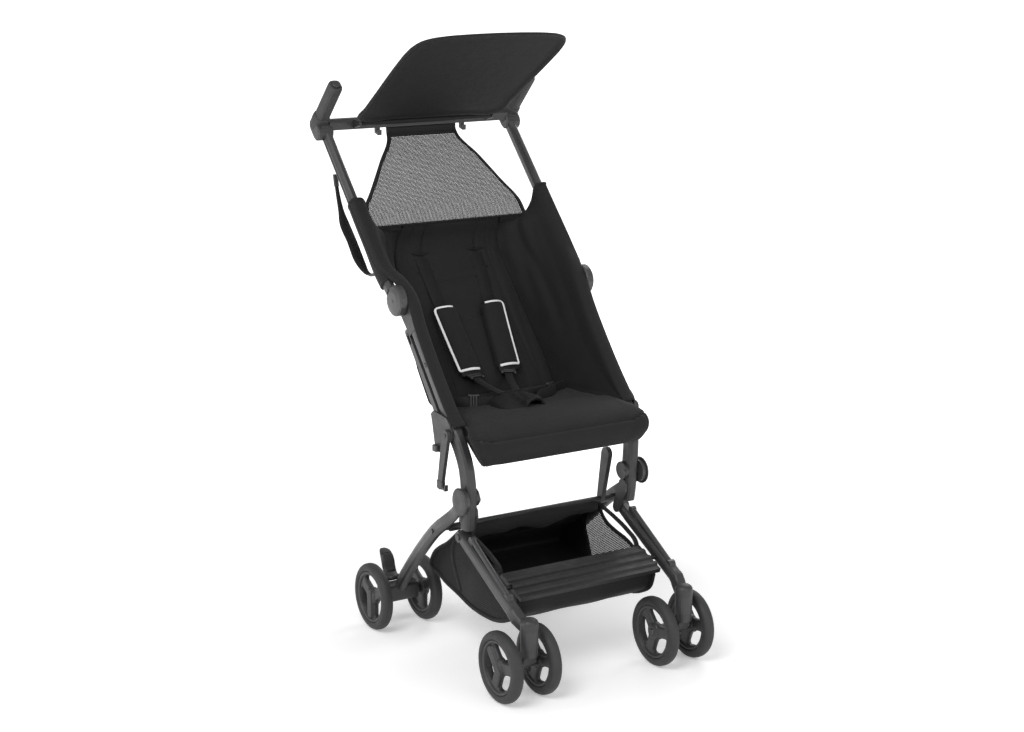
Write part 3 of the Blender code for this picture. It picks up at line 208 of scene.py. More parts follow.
def smooth(points, count):
    """A smooth curve, or a smooth set of rows, through points: count of them, evenly spaced."""
    p = np.asarray(points, float)
    step = np.linalg.norm(np.diff(p[..., :3], axis=0), axis=-1)
    while step.ndim > 1:
        step = step.mean(axis=-1)
    t = np.concatenate([[0.0], np.cumsum(step)])
    slope = np.gradient(p, t, axis=0)
    at = np.linspace(0.0, t[-1], count)
    k = np.clip(np.searchsorted(t, at, side="right") - 1, 0, len(t) - 2)
    shape = (-1,) + (1,) * (p.ndim - 1)
    h = (t[k + 1] - t[k]).reshape(shape)
    u = ((at - t[k]) / (t[k + 1] - t[k])).reshape(shape)
    return ((2 * u**3 - 3 * u**2 + 1) * p[k] + (u**3 - 2 * u**2 + u) * h * slope[k]
            + (3 * u**2 - 2 * u**3) * p[k + 1] + (u**3 - u**2) * h * slope[k + 1])


def fine_grid(rows, along, across):
    """A coarse grid of points made fine and smooth both ways."""
    rows = smooth(rows, along)
    return np.swapaxes(smooth(np.swapaxes(rows, 0, 1), across), 0, 1)


def normals(grid):
    du = np.gradient(grid, axis=0)
    dv = np.gradient(grid, axis=1)
    n = np.cross(du, dv)
    return n / np.maximum(np.linalg.norm(n, axis=-1, keepdims=True), 1e-9)


def bell(value, width):
    return np.exp(-((value / width) ** 2))


def in_world(points):
    return np.asarray(points, float) + np.array([0.0, SHIFT, 0.0])


def linked(name, data):
    """A new object with this data, in the scene."""
    made = bpy.data.objects.new(name, data)
    bpy.context.scene.collection.objects.link(made)
    return made


def mesh_object(name, points, faces, material, body="chassis"):
    """A new piece from points in the source's measures, riding on a body."""
    mesh = bpy.data.meshes.new(name)
    mesh.from_pydata([tuple(p) for p in in_world(points)], [], faces)
    mesh.validate()
    bm = bmesh.new()
    bm.from_mesh(mesh)
    bmesh.ops.remove_doubles(bm, verts=bm.verts, dist=1e-6)
    bmesh.ops.recalc_face_normals(bm, faces=bm.faces)
    bm.to_mesh(mesh)
    bm.free()
    mesh.polygons.foreach_set("use_smooth", [True] * len(mesh.polygons))
    mesh.materials.append(material)
    obj = linked(name, mesh)
    if body:
        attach(obj, body)
    return obj


def quads(rows, columns, round_across=False):
    """The faces of a grid of points, row by row, and across its seam if it goes round."""
    faces = []
    for r in range(rows - 1):
        low, high = r * columns, (r + 1) * columns
        for c in range(columns if round_across else columns - 1):
            d = (c + 1) % columns
            faces.append((low + c, low + d, high + d, high + c))
    return faces


def capped(rows, columns):
    """The faces of a tube of rings, closed at both ends."""
    ends = [tuple(range(columns))[::-1], tuple(range((rows - 1) * columns, rows * columns))]
    return quads(rows, columns, True) + ends


def both_skins(faces, size):
    """Faces of a first skin, and the same ones turned over for a second whose points follow its own."""
    return faces + [tuple(i + size for i in reversed(face)) for face in faces]


def curve(pairs, count):
    """A smooth curve through (y, z) pairs."""
    return smooth([(0.0, *pair) for pair in pairs], count)[:, 1:]


def shell(name, front, back, material, body="chassis"):
    """A closed skin over two grids of points, the front and the back of a pad or a sheet."""
    n, m = front.shape[:2]
    size = n * m
    faces = both_skins(quads(n, m), size)
    rim = list(range(m)) + [r * m + m - 1 for r in range(1, n)]
    rim += [(n - 1) * m + c for c in range(m - 2, -1, -1)] + [r * m for r in range(n - 2, 0, -1)]
    faces += [(b, a, a + size, b + size) for a, b in zip(rim, rim[1:] + rim[:1])]
    points = np.concatenate([front.reshape(-1, 3), back.reshape(-1, 3)])
    return mesh_object(name, points, faces, material, body)


def cloth(name, grid, thickness, material, body="chassis", edge=0.5):
    """A sheet about the grid, with a front, a back and rounded edges."""
    n, m = grid.shape[:2]
    u = np.linspace(-1, 1, n)[:, None, None]
    v = np.linspace(-1, 1, m)[None, :, None]
    half = thickness / 2 * (1 - edge * np.maximum(np.abs(u) ** (n * 0.8), np.abs(v) ** (m * 0.8)))
    out = normals(grid) * half
    return shell(name, grid + out, grid - out, material, body)


def tube(name, path, radius, material, body="chassis", sides=10, closed=False, flat=1.0,
         up=(0.0, 0.0, 1.0), power=2.0):
    """A round or flattened tube along a path; flat is its height over its width."""
    path = np.asarray(path, float)
    n = len(path)
    radius = np.broadcast_to(np.asarray(radius, float), (n,))
    step = np.roll(path, -1, 0) - np.roll(path, 1, 0) if closed else np.gradient(path, axis=0)
    step /= np.linalg.norm(step, axis=1, keepdims=True)
    side = np.cross(step, np.asarray(up, float))
    side /= np.maximum(np.linalg.norm(side, axis=1, keepdims=True), 1e-9)
    rise = np.cross(side, step)
    angle = np.arange(sides) * 2 * math.pi / sides
    c, s = np.cos(angle), np.sin(angle)
    c, s = np.sign(c) * np.abs(c) ** (2 / power), np.sign(s) * np.abs(s) ** (2 / power)
    ring = side[:, None] * c[None, :, None] + flat * rise[:, None] * s[None, :, None]
    points = (path[:, None] + radius[:, None, None] * ring).reshape(-1, 3)
    faces = capped(n, sides)
    if closed:
        last = (n - 1) * sides
        faces[-2:] = [(last + k, last + (k + 1) % sides, (k + 1) % sides, k) for k in range(sides)]
    return mesh_object(name, points, faces, material, body)


def band(name, path, width, thickness, material=WEBBING, body="chassis", across=(1.0, 0.0, 0.0)):
    """A flat strap along a path, its width along a direction, with softly rounded edges."""
    path = np.asarray(path, float)
    width = np.broadcast_to(np.asarray(width, float), (len(path),))
    across = np.broadcast_to(np.asarray(across, float), path.shape)
    across = across / np.linalg.norm(across, axis=1, keepdims=True)
    step = np.gradient(path, axis=0)
    step /= np.linalg.norm(step, axis=1, keepdims=True)
    rise = np.cross(across, step)
    profile = [(-0.5, -0.25), (-0.47, -0.5), (0.0, -0.5), (0.47, -0.5), (0.5, -0.25),
               (0.5, 0.25), (0.47, 0.5), (0.0, 0.5), (-0.47, 0.5), (-0.5, 0.25)]
    rings = [path + across * (width[:, None] * a) + rise * (thickness * b) for a, b in profile]
    points = np.stack(rings, axis=1).reshape(-1, 3)
    return mesh_object(name, points, capped(len(path), len(profile)), material, body)


def turned(name, profile, place, axis, material, body, segments=32):
    """A closed profile of (along, radius) turned about an axis through a place (x, y, z)."""
    axis = Vector(axis).normalized()
    turn = Vector((1, 0, 0)).rotation_difference(axis).to_matrix()
    points = []
    for a, r in profile:
        for k in range(segments):
            angle = 2 * math.pi * k / segments
            local = turn @ Vector((a, max(r, 1e-7) * math.cos(angle), max(r, 1e-7) * math.sin(angle)))
            points.append(np.array(place) + np.array(local))
    return mesh_object(name, points, quads(len(profile), segments, True), material, body)


def hex_net(name, width_at, place_at, length, pitch, strand, material, body, inside=None):
    """A net of six-sided holes over a surface: place_at(x, s) for s from 0 to length and |x| under width_at(s)."""
    tall = pitch * 2 / math.sqrt(3)
    angles = [math.radians(60 * k) for k in range(6)]
    corners = [(math.sin(a) * tall / 2, math.cos(a) * tall / 2) for a in angles]
    shrink = 1 - strand / pitch
    keys, points, faces = {}, [], []

    def vertex(x, s, key=None):
        if key is not None and key in keys:
            return keys[key]
        points.append(place_at(x, min(max(s, 0.0), length)))
        if key is not None:
            keys[key] = len(points) - 1
        return len(points) - 1

    reach = int(WIDEST_NET / pitch)
    for r in range(int(length / (tall * 0.75)) + 2):
        s = r * tall * 0.75
        if s > length:
            break
        for c in range(-reach, reach + 1):
            x = (c + 0.5 * (r % 2)) * pitch
            if abs(x) > width_at(s) or (inside and not inside(x, s)):
                continue
            outer = [vertex(x + a, s + b, (round((x + a) * 2e4), round((s + b) * 2e4))) for a, b in corners]
            inner = [vertex(x + a * shrink, s + b * shrink) for a, b in corners]
            faces += [(outer[k - 1], outer[k], inner[k], inner[k - 1]) for k in range(6)]
    return mesh_object(name, points, faces, material, body)


def along_path(path, share):
    """Place and forward normal on a (y, z) path, smoothed."""
    dense = smooth([(0.0, *pair) for pair in path], 200)
    last = len(dense) - 1
    low = min(int(share * last), last - 1)
    place = dense[low] + (dense[low + 1] - dense[low]) * (share * last - low)
    step = dense[min(low + 2, last)] - dense[max(low - 1, 0)]
    step = step / np.linalg.norm(step)
    return place, np.array([0.0, step[2], -step[1]])


# Camera, floor and light

CAMERA_PLACE, CAMERA_AIM = (-1.8004, -2.9131, 1.3069), (0.513, 0.8278, -0.2271)
CAMERA_LENS = 67.25
FLOOR_REACH = 40


def make_camera():
    data = bpy.data.cameras.new("view")
    data.lens = CAMERA_LENS
    data.sensor_width = 36.0
    camera = linked("view", data)
    camera.location = CAMERA_PLACE
    camera.rotation_euler = Vector(CAMERA_AIM).to_track_quat("-Z", "Y").to_euler()
    bpy.context.scene.camera = camera


def make_stage():
    """A pale floor that keeps the object's shadow and fades to white around it."""
    mesh = bpy.data.meshes.new("floor")
    corners = [(x * FLOOR_REACH, y * FLOOR_REACH, 0) for x, y in ((-1, -1), (1, -1), (1, 1), (-1, 1))]
    mesh.from_pydata(corners, [], [(0, 1, 2, 3)])
    floor = linked("floor", mesh)
    made, tree, shader, place = node_tree("pale_floor")
    put(shader, {"Base Color": (0.86, 0.86, 0.86, 1.0), "Roughness": 0.9, "Specular IOR Level": 0.0})
    rays = tree.nodes.new("ShaderNodeLightPath")
    seen = calculate(tree, "MAXIMUM", rays.outputs["Is Camera Ray"], rays.outputs["Is Glossy Ray"])
    seen = calculate(tree, "MAXIMUM", seen, rays.outputs["Is Transmission Ray"])
    away = tree.nodes.new("ShaderNodeVectorMath")
    away.operation = "LENGTH"
    tree.links.new(place, away.inputs[0])
    white = remap(tree, away.outputs["Value"], FLOOR_GLOW, 1.0, 0.45, 1.3)
    glow = tree.nodes.new("ShaderNodeEmission")
    tree.links.new(calculate(tree, "MULTIPLY", seen, white), glow.inputs["Strength"])
    both = tree.nodes.new("ShaderNodeAddShader")
    tree.links.new(shader.outputs[0], both.inputs[0])
    tree.links.new(glow.outputs[0], both.inputs[1])
    tree.links.new(both.outputs[0], tree.nodes["Material Output"].inputs["Surface"])
    mesh.materials.append(made)


def make_world():
    world = bpy.data.worlds.new("studio")
    bpy.context.scene.world = world
    world.use_nodes = True
    tree = world.node_tree
    back = tree.nodes["Background"]
    back.inputs["Color"].default_value = (1.0, 1.0, 1.0, 1.0)
    rays = tree.nodes.new("ShaderNodeLightPath")
    seen = calculate(tree, "MAXIMUM", rays.outputs["Is Camera Ray"], rays.outputs["Is Transmission Ray"])
    strength = calculate(tree, "ADD", calculate(tree, "MULTIPLY", seen, 0.5), 0.5)
    tree.links.new(strength, back.inputs["Strength"])


def make_lamp(name, place, target, size, power):
    data = bpy.data.lights.new(name, "AREA")
    data.shape = "RECTANGLE"
    data.size, data.size_y = size
    data.energy = power
    lamp = linked(name, data)
    lamp.location = place
    lamp.rotation_euler = (Vector(target) - Vector(place)).to_track_quat("-Z", "Y").to_euler()


def make_light():
    make_lamp("key", (-2.2, -1.6, 3.0), (0.0, 0.0, 0.5), (1.6, 1.6), 62.0)
    make_lamp("front", (0.6, -3.6, 1.9), (0.0, 0.0, 0.5), (1.8, 1.4), 26.0)
    make_lamp("rim", (2.4, 1.4, 2.2), (0.0, 0.0, 0.6), (1.2, 1.6), 24.0)
    make_lamp("side", (-3.0, 0.8, 0.9), (0.0, 0.0, 0.5), (0.8, 1.8), 16.0)
    bpy.context.scene.view_settings.view_transform = "Standard"


# Visor

def visor_place(x, s, rise):
    cy, cz = CANOPY_HINGE
    length = math.dist(CANOPY_HINGE, CANOPY_FRONT)
    ay, az = (CANOPY_FRONT[0] - cy) / length, (CANOPY_FRONT[1] - cz) / length
    return np.array([x, cy + ay * s + az * rise, cz + az * s - ay * rise])


def visor_outline():
    length = math.dist(CANOPY_HINGE, CANOPY_FRONT)
    wide = 0.1625
    half = [(0.0, 0.015), (0.08, 0.0148), (0.148, 0.0145), (0.1535, 0.0185), (0.156, 0.06), (wide - 0.004, 0.12),
            (wide - 0.0012, 0.18)]
    half += [(wide - inward, length - back) for inward, back in (
        (0.0, 0.095), (0.0005, 0.062), (0.004, 0.04), (0.014, 0.0215), (0.03, 0.0125), (0.055, 0.007))]
    half += [(0.06, length - 0.0028), (0.0, length - 0.0012)]
    right = smooth([(x, s, 0.0) for x, s in half], 90)[:, :2]
    left = right[::-1][1:-1] * np.array([-1.0, 1.0])
    return np.concatenate([right, left])


def make_visor():
    """The stiff sun visor: a lightly crowned panel with a bound edge, on a sleeve round its hinge rod."""
    outline = visor_outline()
    centre = np.array([0.0, 0.165])
    scales = (1.0, 0.993, 0.975, 0.955, 0.94, 0.86, 0.72, 0.55, 0.38, 0.2, 0.06)
    points = []
    for face in (1, -1):
        for k, scale in enumerate(scales):
            swell = (0.0016, 0.0023, 0.0026, 0.0022, 0.0018, 0.002)[min(k, 5)]
            crown = 0.0018 * (1 - scale**2)
            dip = 0.001 * bell(scale - 0.945, 0.006)
            for px, ps in centre + (outline - centre) * scale:
                points.append(visor_place(px, ps, face * (swell - dip) + crown))
    count = len(outline)
    size = count * len(scales)
    faces = both_skins(quads(len(scales), count, True) + [tuple(range(size - count, size))], size)
    faces += [(k, size + k, size + (k + 1) % count, (k + 1) % count) for k in range(count)]
    visor = mesh_object("visor", points, faces, VISOR, "canopy_body")
    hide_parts("canopy")
    edge = [visor_place(x, s, 0.0) for x, s in outline]
    rise = visor_place(0, 0, 1) - visor_place(0, 0, 0)
    tube("visor_binding", edge, 0.003, TRIM, "canopy_body", sides=12, closed=True, up=rise)
    y, z = CANOPY_HINGE
    rod = [(x, y, z) for x in (-0.1415, -0.14, *np.linspace(-0.13, 0.13, 30), 0.14, 0.1415)]
    radius = [0.0042] + [0.0056] * (len(rod) - 2) + [0.0042]
    tube("visor_hinge_sleeve", rod, radius, TRIM, "canopy_body", sides=14)
    tube("visor_hinge_rod", [(-0.1465, y, z), (0.1465, y, z)], 0.0024, STEEL, "canopy_body", sides=12)
    flap = np.array([[visor_place(x, s, r) for x in np.linspace(-0.14, 0.14, 41)]
                     for s, r in ((0.002, 0.0052), (0.008, 0.0046), (0.015, 0.0036), (0.023, 0.0034))])
    cloth("visor_flap", fine_grid(flap, 8, 60), 0.0012, VISOR, "canopy_body")


# Head net

HEAD_ROWS = [(-0.1, 0.751, 0.165, 0.0), (-0.066, 0.783, 0.164, 0.0), (-0.05, 0.809, 0.144, 0.0),
             (-0.02, 0.861, 0.106, 0.0), (0.0085, 0.902, 0.0745, 0.0), (0.014, 0.9105, 0.073, 0.0),
             (0.016, 0.9215, 0.073, 0.0)]


def make_head_net():
    """The open net behind the head with its bindings, from the seat's top hem to a cloth band on the bar."""
    dense = smooth([(0.0, *row) for row in HEAD_ROWS], 160)
    lengths = np.concatenate([[0.0], np.cumsum(np.linalg.norm(np.diff(dense[:, 1:3], axis=0), axis=1))])
    total = lengths[-1]

    def row_at(s):
        return [np.interp(s, lengths, dense[:, k]) for k in (1, 2, 3, 4)]

    def place(x, s):
        y, z, half, lift = row_at(s)
        u = x / half
        sag = 0.005 * (1 - u * u) * math.sin(math.pi * min(1.0, s / total))
        return (x, y + 0.6 * lift * u * u + sag, z + lift * u * u)

    net_length = total - 0.0165
    net = hex_net("head_net", lambda s: row_at(s)[2] - 0.0015, place, net_length, 0.003, 0.002, THREAD, None)
    pieces = [net]
    for side, sign in SIDES:
        edge = [place(sign * (row_at(s)[2] - 0.0005), s) for s in np.linspace(0.0, total, 70)]
        pieces.append(tube(f"head_binding_{side}", edge, 0.0042, TRIM, None, sides=10, flat=0.6))
    low = [place(x, 0.0) for x in np.linspace(-0.164, 0.164, 60)]
    pieces.append(tube("head_hem", low, 0.0036, TRIM, None, sides=10, flat=0.55))
    rows = np.array([[place(x, s) for x in np.linspace(-0.0735, 0.0735, 24)]
                     for s in np.linspace(net_length - 0.004, total, 7)])
    facing = np.array([[(x, -0.0925 + 0.0012 * math.sin(40 * x), 0.75), (x, -0.086, 0.734), (x, -0.079, 0.718)]
                       for x in np.linspace(-0.156, 0.156, 40)])
    cloth("back_top_facing", fine_grid(facing, 80, 10), 0.0016, TRIM)
    pieces.append(cloth("head_band", rows, 0.0024, TRIM, None))
    for piece in pieces:
        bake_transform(piece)
    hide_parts("head_mesh")


# Seat

def back_half(share):
    return 0.107 + 0.028 * min(1.0, share * 1.25)


def back_place(x, share, proud):
    place, out = along_path(BACK_PATH, share)
    return np.array([x, place[1] - abs(out[1]) * proud, place[2] + abs(out[2]) * proud])


def make_seat_back():
    """The padded back: three upright channels, seams across, and slots for the straps."""
    count, width = 96, 81
    grid = np.zeros((count, width, 3))
    for r in range(count):
        share = r / (count - 1)
        place, out = along_path(BACK_PATH, share)
        half = back_half(share)
        for c in range(width):
            u = -1 + 2 * c / (width - 1)
            x = half * u
            seam_x = 0.056 + 0.024 * share
            fall = 0.0032 * bell(abs(x) - seam_x, 0.003)
            fall += 0.0022 * bell(abs(x) - seam_x - 0.026, 0.0025) * (share < 0.9)
            inner = abs(x) < seam_x
            fall += 0.0026 * bell(share - 0.335, 0.008) * inner + 0.0024 * bell(share - 0.555, 0.008) * inner
            fall += 0.0012 * bell(share - 0.57, 0.006) * inner
            pillow = 0.0042 * math.cos(math.pi / 2 * min(1.0, abs(x) / seam_x)) ** 0.5 if inner else 0.002
            slot = 0.003 * bell(abs(x) - 0.06, 0.011) * (bell(share - 0.175, 0.007) + bell(share - 0.29, 0.007))
            crease = 0.0008 * math.sin(34 * u + 9 * share) * bell(abs(u) - 0.85, 0.18)
            proud = pillow - fall - slot + crease - 0.003 * abs(u) ** 8
            grid[r, c] = (x, place[1] - abs(out[1]) * proud, place[2] + abs(out[2]) * proud)
    edge = grid[:, -1] + np.array([0.0004, 0.0, 0.0])
    piece = cloth("seat_back_cover", grid, 0.0085, CLOTH)
    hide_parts("seat_back")
    hem = [back_place(x, 0.004, 0.0015) for x in np.linspace(-0.105, 0.105, 40)]
    tube("back_top_hem", hem, 0.0048, TRIM, sides=10, flat=0.6)
    for side, sign in SIDES:
        for row, share in enumerate((0.17, 0.288)):
            path = [back_place(sign * (0.06 + dx), share + 0.004 * math.cos(dx * 180), 0.0062)
                    for dx in np.linspace(-0.0165, 0.0165, 9)]
            tube(f"strap_slot_hem_{side}_{row}", path, 0.0027, TRIM, sides=8, flat=0.6)
    for k, share in enumerate((0.335, 0.555)):
        rows = np.array([[back_place(x, share + d, 0.0056) for x in np.linspace(-0.04, 0.04, 16)]
                         for d in (-0.014, 0.0, 0.014)])
        cloth(f"back_tape_{k}", fine_grid(rows, 6, 24), 0.001, TRIM)
    return edge


SEAT_ROWS = ((-0.2525, 0.442, 0.134), (-0.29, 0.4405, 0.14), (-0.33, 0.44, 0.146), (-0.38, 0.4425, 0.154),
             (-0.42, 0.446, 0.164), (-0.445, 0.443, 0.169), (-0.467, 0.4375, 0.181), (-0.483, 0.429, 0.185),
             (-0.4935, 0.418, 0.184), (-0.496, 0.407, 0.18), (-0.492, 0.396, 0.172), (-0.48, 0.386, 0.164))


def make_seat_cushion():
    """The seat pad: crowned, drawn in at its sides, rolled over the front with a seam along the roll."""
    count, width = 90, 97
    dense = smooth([(0.0, *row) for row in SEAT_ROWS], count)
    grid = np.zeros((count, width, 3))
    across = np.linspace(-1, 1, width)
    for r in range(count):
        _, y, z, half = dense[r]
        grid[r, :, 0] = half * across
        grid[r, :, 1] = y
        grid[r, :, 2] = z
    out = normals(grid)
    out *= np.sign(out[count // 3, width // 2, 2])
    share = np.linspace(0, 1, count)[:, None]
    u = across[None, :]
    seam = bell(share - 0.845 + 0.055 * np.abs(u) ** 10, 0.006) * 0.0034
    sides = 0.0016 * bell(np.abs(u) - 0.955, 0.01)
    crown = 0.003 * (1 - np.abs(u) ** 4) * np.sin(np.pi * np.clip(share / 0.84, 0, 1)) ** 0.6
    roll = 0.0022 * (1 - np.abs(u) ** 6) * np.sin(np.pi * np.clip((share - 0.85) / 0.15, 0, 1)) ** 0.7
    creases = 0.0006 * np.sin(26 * u + 40 * share) * bell(np.abs(u) - 0.9, 0.12)
    move = crown + roll - seam - sides + creases
    grid = grid + out * move[..., None]
    piece = cloth("seat_cushion", grid, 0.013, CLOTH, edge=0.75)
    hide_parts("seat_base")
    return grid[:70, -1] + np.array([0.0006, 0.0, 0.0])


# Rows of a cloth side from its top: inner edge (x, y, z), then its place (y, z) along the tubes,
# the tube's middle x, how far the cloth stands in front of it, and how far it wraps round outside
WING_ROWS = (
    ((0.108, -0.099, 0.749), (-0.0905, 0.7964), 0.202, 0.0165, 1.0),
    ((0.113, -0.08, 0.708), (-0.125, 0.7589), 0.202, 0.0165, 1.0),
    ((0.119, -0.085, 0.668), (-0.16, 0.7208), 0.202, 0.017, 1.0),
    ((0.125, -0.11, 0.637), (-0.193, 0.687), 0.2, 0.018, 0.9),
    ((0.13, -0.14, 0.595), (-0.223, 0.664), 0.19, 0.0235, 0.3),
    ((0.1368, -0.17, 0.552), (-0.25, 0.6393), 0.1835, 0.0255, 0.0),
    ((0.137, -0.215, 0.493), (-0.2917, 0.5898), 0.183, 0.018, 0.0),
    ((0.1372, -0.254, 0.448), (-0.335, 0.5383), 0.183, 0.015, 0.0),
    ((0.145, -0.32, 0.444), (-0.376, 0.4895), 0.183, 0.015, 0.0),
    ((0.156, -0.375, 0.447), (-0.408, 0.4545), 0.183, 0.0155, 0.0),
    ((0.1655, -0.42, 0.451), (-0.426, 0.437), 0.1815, 0.0165, 0.0),
)

WING_TOP = ((0.135, -0.1, 0.75), (0.163, -0.101, 0.752), (0.179, -0.102, 0.774))
# The way (y, z) that the cloth faces over the upper tubes, their bends and the lower tubes
UPPER_OUT, BEND_OUT, LOWER_OUT = (-0.7363, 0.6767), (-0.75, 0.661), (-0.7652, 0.6438)


def wing_grid(seam):
    """The cloth side as a fine grid, from the seat's seam to its wrap round the tubes."""
    coarse = []
    for k, (inner, (y, z), x, proud, wrap) in enumerate(WING_ROWS):
        out = UPPER_OUT if k < 4 else BEND_OUT if k == 4 else LOWER_OUT
        inner = np.array(inner)
        outer = [np.array([x + dx, y + out[0] * ahead, z + out[1] * ahead]) for dx, ahead in (
            (-0.01, proud - 0.0015), (0.0, proud), (0.0085, proud - 0.0015),
            (0.01 + 0.002 * wrap, proud - 0.0035 - 0.0095 * wrap))]
        coarse.append([inner] + [inner + (outer[0] - inner) * t for t in (0.25, 0.5, 0.75)] + outer)
    coarse[0][1:4] = [np.array(p) for p in WING_TOP]
    grid = fine_grid(coarse, 150, 60)
    for row in grid[4:]:
        gap = seam - row[0]
        shift = gap[np.argmin(np.linalg.norm(gap, axis=1))]
        row += shift * ((1 - np.linspace(0, 1, 60)) ** 3)[:, None]
    return grid


def make_wings(seam):
    """The cloth sides from the back and cushion out round the tubes, with slack folds."""
    base = wing_grid(seam)
    out = normals(base)
    out *= np.sign(out[75, 20, 0])
    v = np.linspace(0, 1, 150)[:, None]
    t = np.linspace(0, 1, 60)[None, :]
    panel = np.clip(t / 0.62, 0, 1)
    slack = 0.004 * np.sin(np.pi * panel) * np.sin(np.pi * np.clip(v * 1.1, 0, 1))
    long_fold = 0.0055 * bell(panel - (0.52 + 0.3 * v), 0.11) * np.clip(v * 5, 0, 1) * np.clip((0.62 - v) * 3, 0, 1)
    folds = 0.0018 * np.sin(15 * panel + 7 * v) * bell(v - 0.25, 0.22) * np.sin(np.pi * panel)
    creases = 0.0011 * np.sin(34 * v - 9 * panel) * bell(panel - 0.12, 0.22) * np.sin(np.pi * panel)
    base = base + out * (-slack + long_fold + folds + creases)[..., None]
    for side, sign in SIDES:
        grid = base * np.array([sign, 1.0, 1.0])
        wing = cloth(f"side_panel_{side}", grid, 0.0018, CLOTH, None)
        edge = tube(f"side_edge_{side}", grid[1:, -1], 0.0016, TRIM, None, sides=8)
        join = tube(f"side_seam_{side}", grid[4:, 0], 0.002, TRIM, None, sides=8)
        top = tube(f"side_top_hem_{side}", grid[0, 18:], 0.0026, TRIM, None, sides=8)
        for piece in (wing, edge, join, top):
            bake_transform(piece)
        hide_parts(f"side_wing_{side}")


def make_tube_sleeves():
    """The cloth sleeves on the lower ends of the upper tubes, with a hem at both ends."""
    v = np.linspace(0, 1, 40)
    wide = 0.0112 + 0.0006 * np.sin(9 * v) * v + 0.0006 * v
    for side, sign in SIDES:
        path = smooth([(sign * 0.202, -0.0905, 0.7964), (sign * 0.202, -0.14, 0.7425),
                       (sign * 0.202, -0.19, 0.6885), (sign * 0.202, -0.216, 0.6662)], 40)
        tube(f"tube_sleeve_{side}", path, wide, CLOTH, "handle_frame", sides=24, flat=1.28, power=2.3)
        for k, ends in enumerate((path[:2], path[-2:])):
            middle = ends.mean(axis=0)
            step = 0.0035 * (ends[1] - ends[0]) / np.linalg.norm(ends[1] - ends[0])
            radius = np.array([0.0114, 0.0119, 0.0114]) + 0.0006 * k
            tube(f"sleeve_hem_{side}_{k}", [middle - step, middle, middle + step], radius, TRIM, "handle_frame",
                 sides=24, flat=1.26, power=2.3)


# Harness

def make_shoulder_straps():
    for side, sign in SIDES:
        rows = [(0.172, 0.06, 0.002), (0.23, 0.0598, 0.0072), (0.3, 0.0585, 0.0072), (0.42, 0.0555, 0.0078),
                (0.52, 0.0515, 0.01), (0.7, 0.046, 0.01), (0.875, 0.0405, 0.0098)]
        path = smooth([back_place(sign * x, share, proud) for share, x, proud in rows], 60)
        upper = band(f"shoulder_webbing_{side}", path, 0.0255, 0.0018)
        end = path[-1]
        anchor = np.array([sign * 0.016 + BUCKLE_X, -0.34, 0.468])
        drop = [end * (1 - t) + anchor * t - np.array([0, 0, slack]) for t, slack in ((0.4, 0.004), (0.75, 0.003))]
        drop = smooth([end, *drop, anchor], 24)
        band(f"buckle_webbing_{side}", drop, np.linspace(0.015, 0.018, 24), 0.0022)
        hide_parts(f"shoulder_strap_{side}")
        middle = end * 0.9 + anchor * 0.1
        step = (anchor - end) / np.linalg.norm(anchor - end)
        ladder(f"strap_slider_{side}", middle + step * 0.004, step, 0.025, 0.03)


def ladder(name, middle, step, width, length, across=(1.0, 0.0, 0.0)):
    """A three-bar slide with its strap threaded through."""
    across = np.array(across, float)
    across = across - step * float(np.dot(across, step))
    across /= np.linalg.norm(across)
    rise = np.cross(across, step)
    rise = rise * (1 if rise[2] > 0 else -1)
    bars = [(f"bar{k}", 0.0019, [(e, t) for e in np.linspace(-1, 1, 9)]) for k, t in enumerate((-0.5, 0.0, 0.5))]
    bars += [(f"side{k}", 0.0023, [(e, t) for t in np.linspace(-1.05, 1.05, 9)]) for k, e in enumerate((-1, 1))]
    for part, radius, places in bars:
        line = [middle + across * (width / 2 * e) + step * (length / 2 * t) + rise * 0.0014 for e, t in places]
        tube(f"{name}_{part}", line, radius, PLASTIC, "chassis", sides=8)


def pad_outline(share):
    """Half width of a shoulder pad from its top (0) to its bottom (1), with rounded upper corners."""
    top = min(1.0, share / 0.075)
    return (0.015 + 0.0082 * (1 - (1 - top) ** 2) ** 0.5) if top < 1 else 0.0232 - 0.0004 * share


def pad_place(sign, t, u, proud):
    """A place on a shoulder pad: t from its top to its bottom, u from its inner edge (-1) to its outer edge (1)."""
    x = sign * (0.0517 - 0.0108 * t + u * pad_outline(t))
    return back_place(x, 0.505 + 0.368 * t, proud - 0.005 * u * u)


def make_shoulder_pads():
    """Soft pads on the shoulder straps, each with piping on three sides and a webbing tab below."""
    n, m = 46, 21
    middle, piping = 0.0205, 0.0242
    for side, sign in SIDES:
        front, back = np.zeros((n, m, 3)), np.zeros((n, m, 3))
        for r, t in enumerate(np.linspace(0, 1, n)):
            for c, u in enumerate(np.linspace(-1, 1, m)):
                edge = max(abs(u) ** 5, abs(2 * t - 1) ** 14)
                swell = 0.0064 * (1 - edge) ** 0.55 + 0.0012
                sag = 0.001 * math.sin(11 * t) * (1 - abs(u))
                front[r, c] = pad_place(sign, t, u, middle + swell + sag)
                back[r, c] = pad_place(sign, t, u, middle - swell * 0.6)
        pad = shell(f"shoulder_cushion_{side}", front, back, CLOTH)
        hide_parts(f"shoulder_pad_{side}")
        path = [pad_place(sign, 0.01, u, piping) for u in np.linspace(-0.85, 0.85, 9)]
        path += [pad_place(sign, t, 0.985, piping) for t in np.linspace(0.025, 0.985, 34)]
        path += [pad_place(sign, 0.993, u, piping) for u in np.linspace(0.93, -0.8, 14)]
        tube(f"pad_piping_{side}", smooth(path, 110), 0.003, PIPING, sides=12, flat=0.45,
             up=(0.0, -0.77, 0.64))
        tab = [back_place(sign * 0.0405, s, 0.018) for s in np.linspace(0.866, 0.903, 6)]
        band(f"pad_tab_{side}", tab, 0.044, 0.005, TRIM)


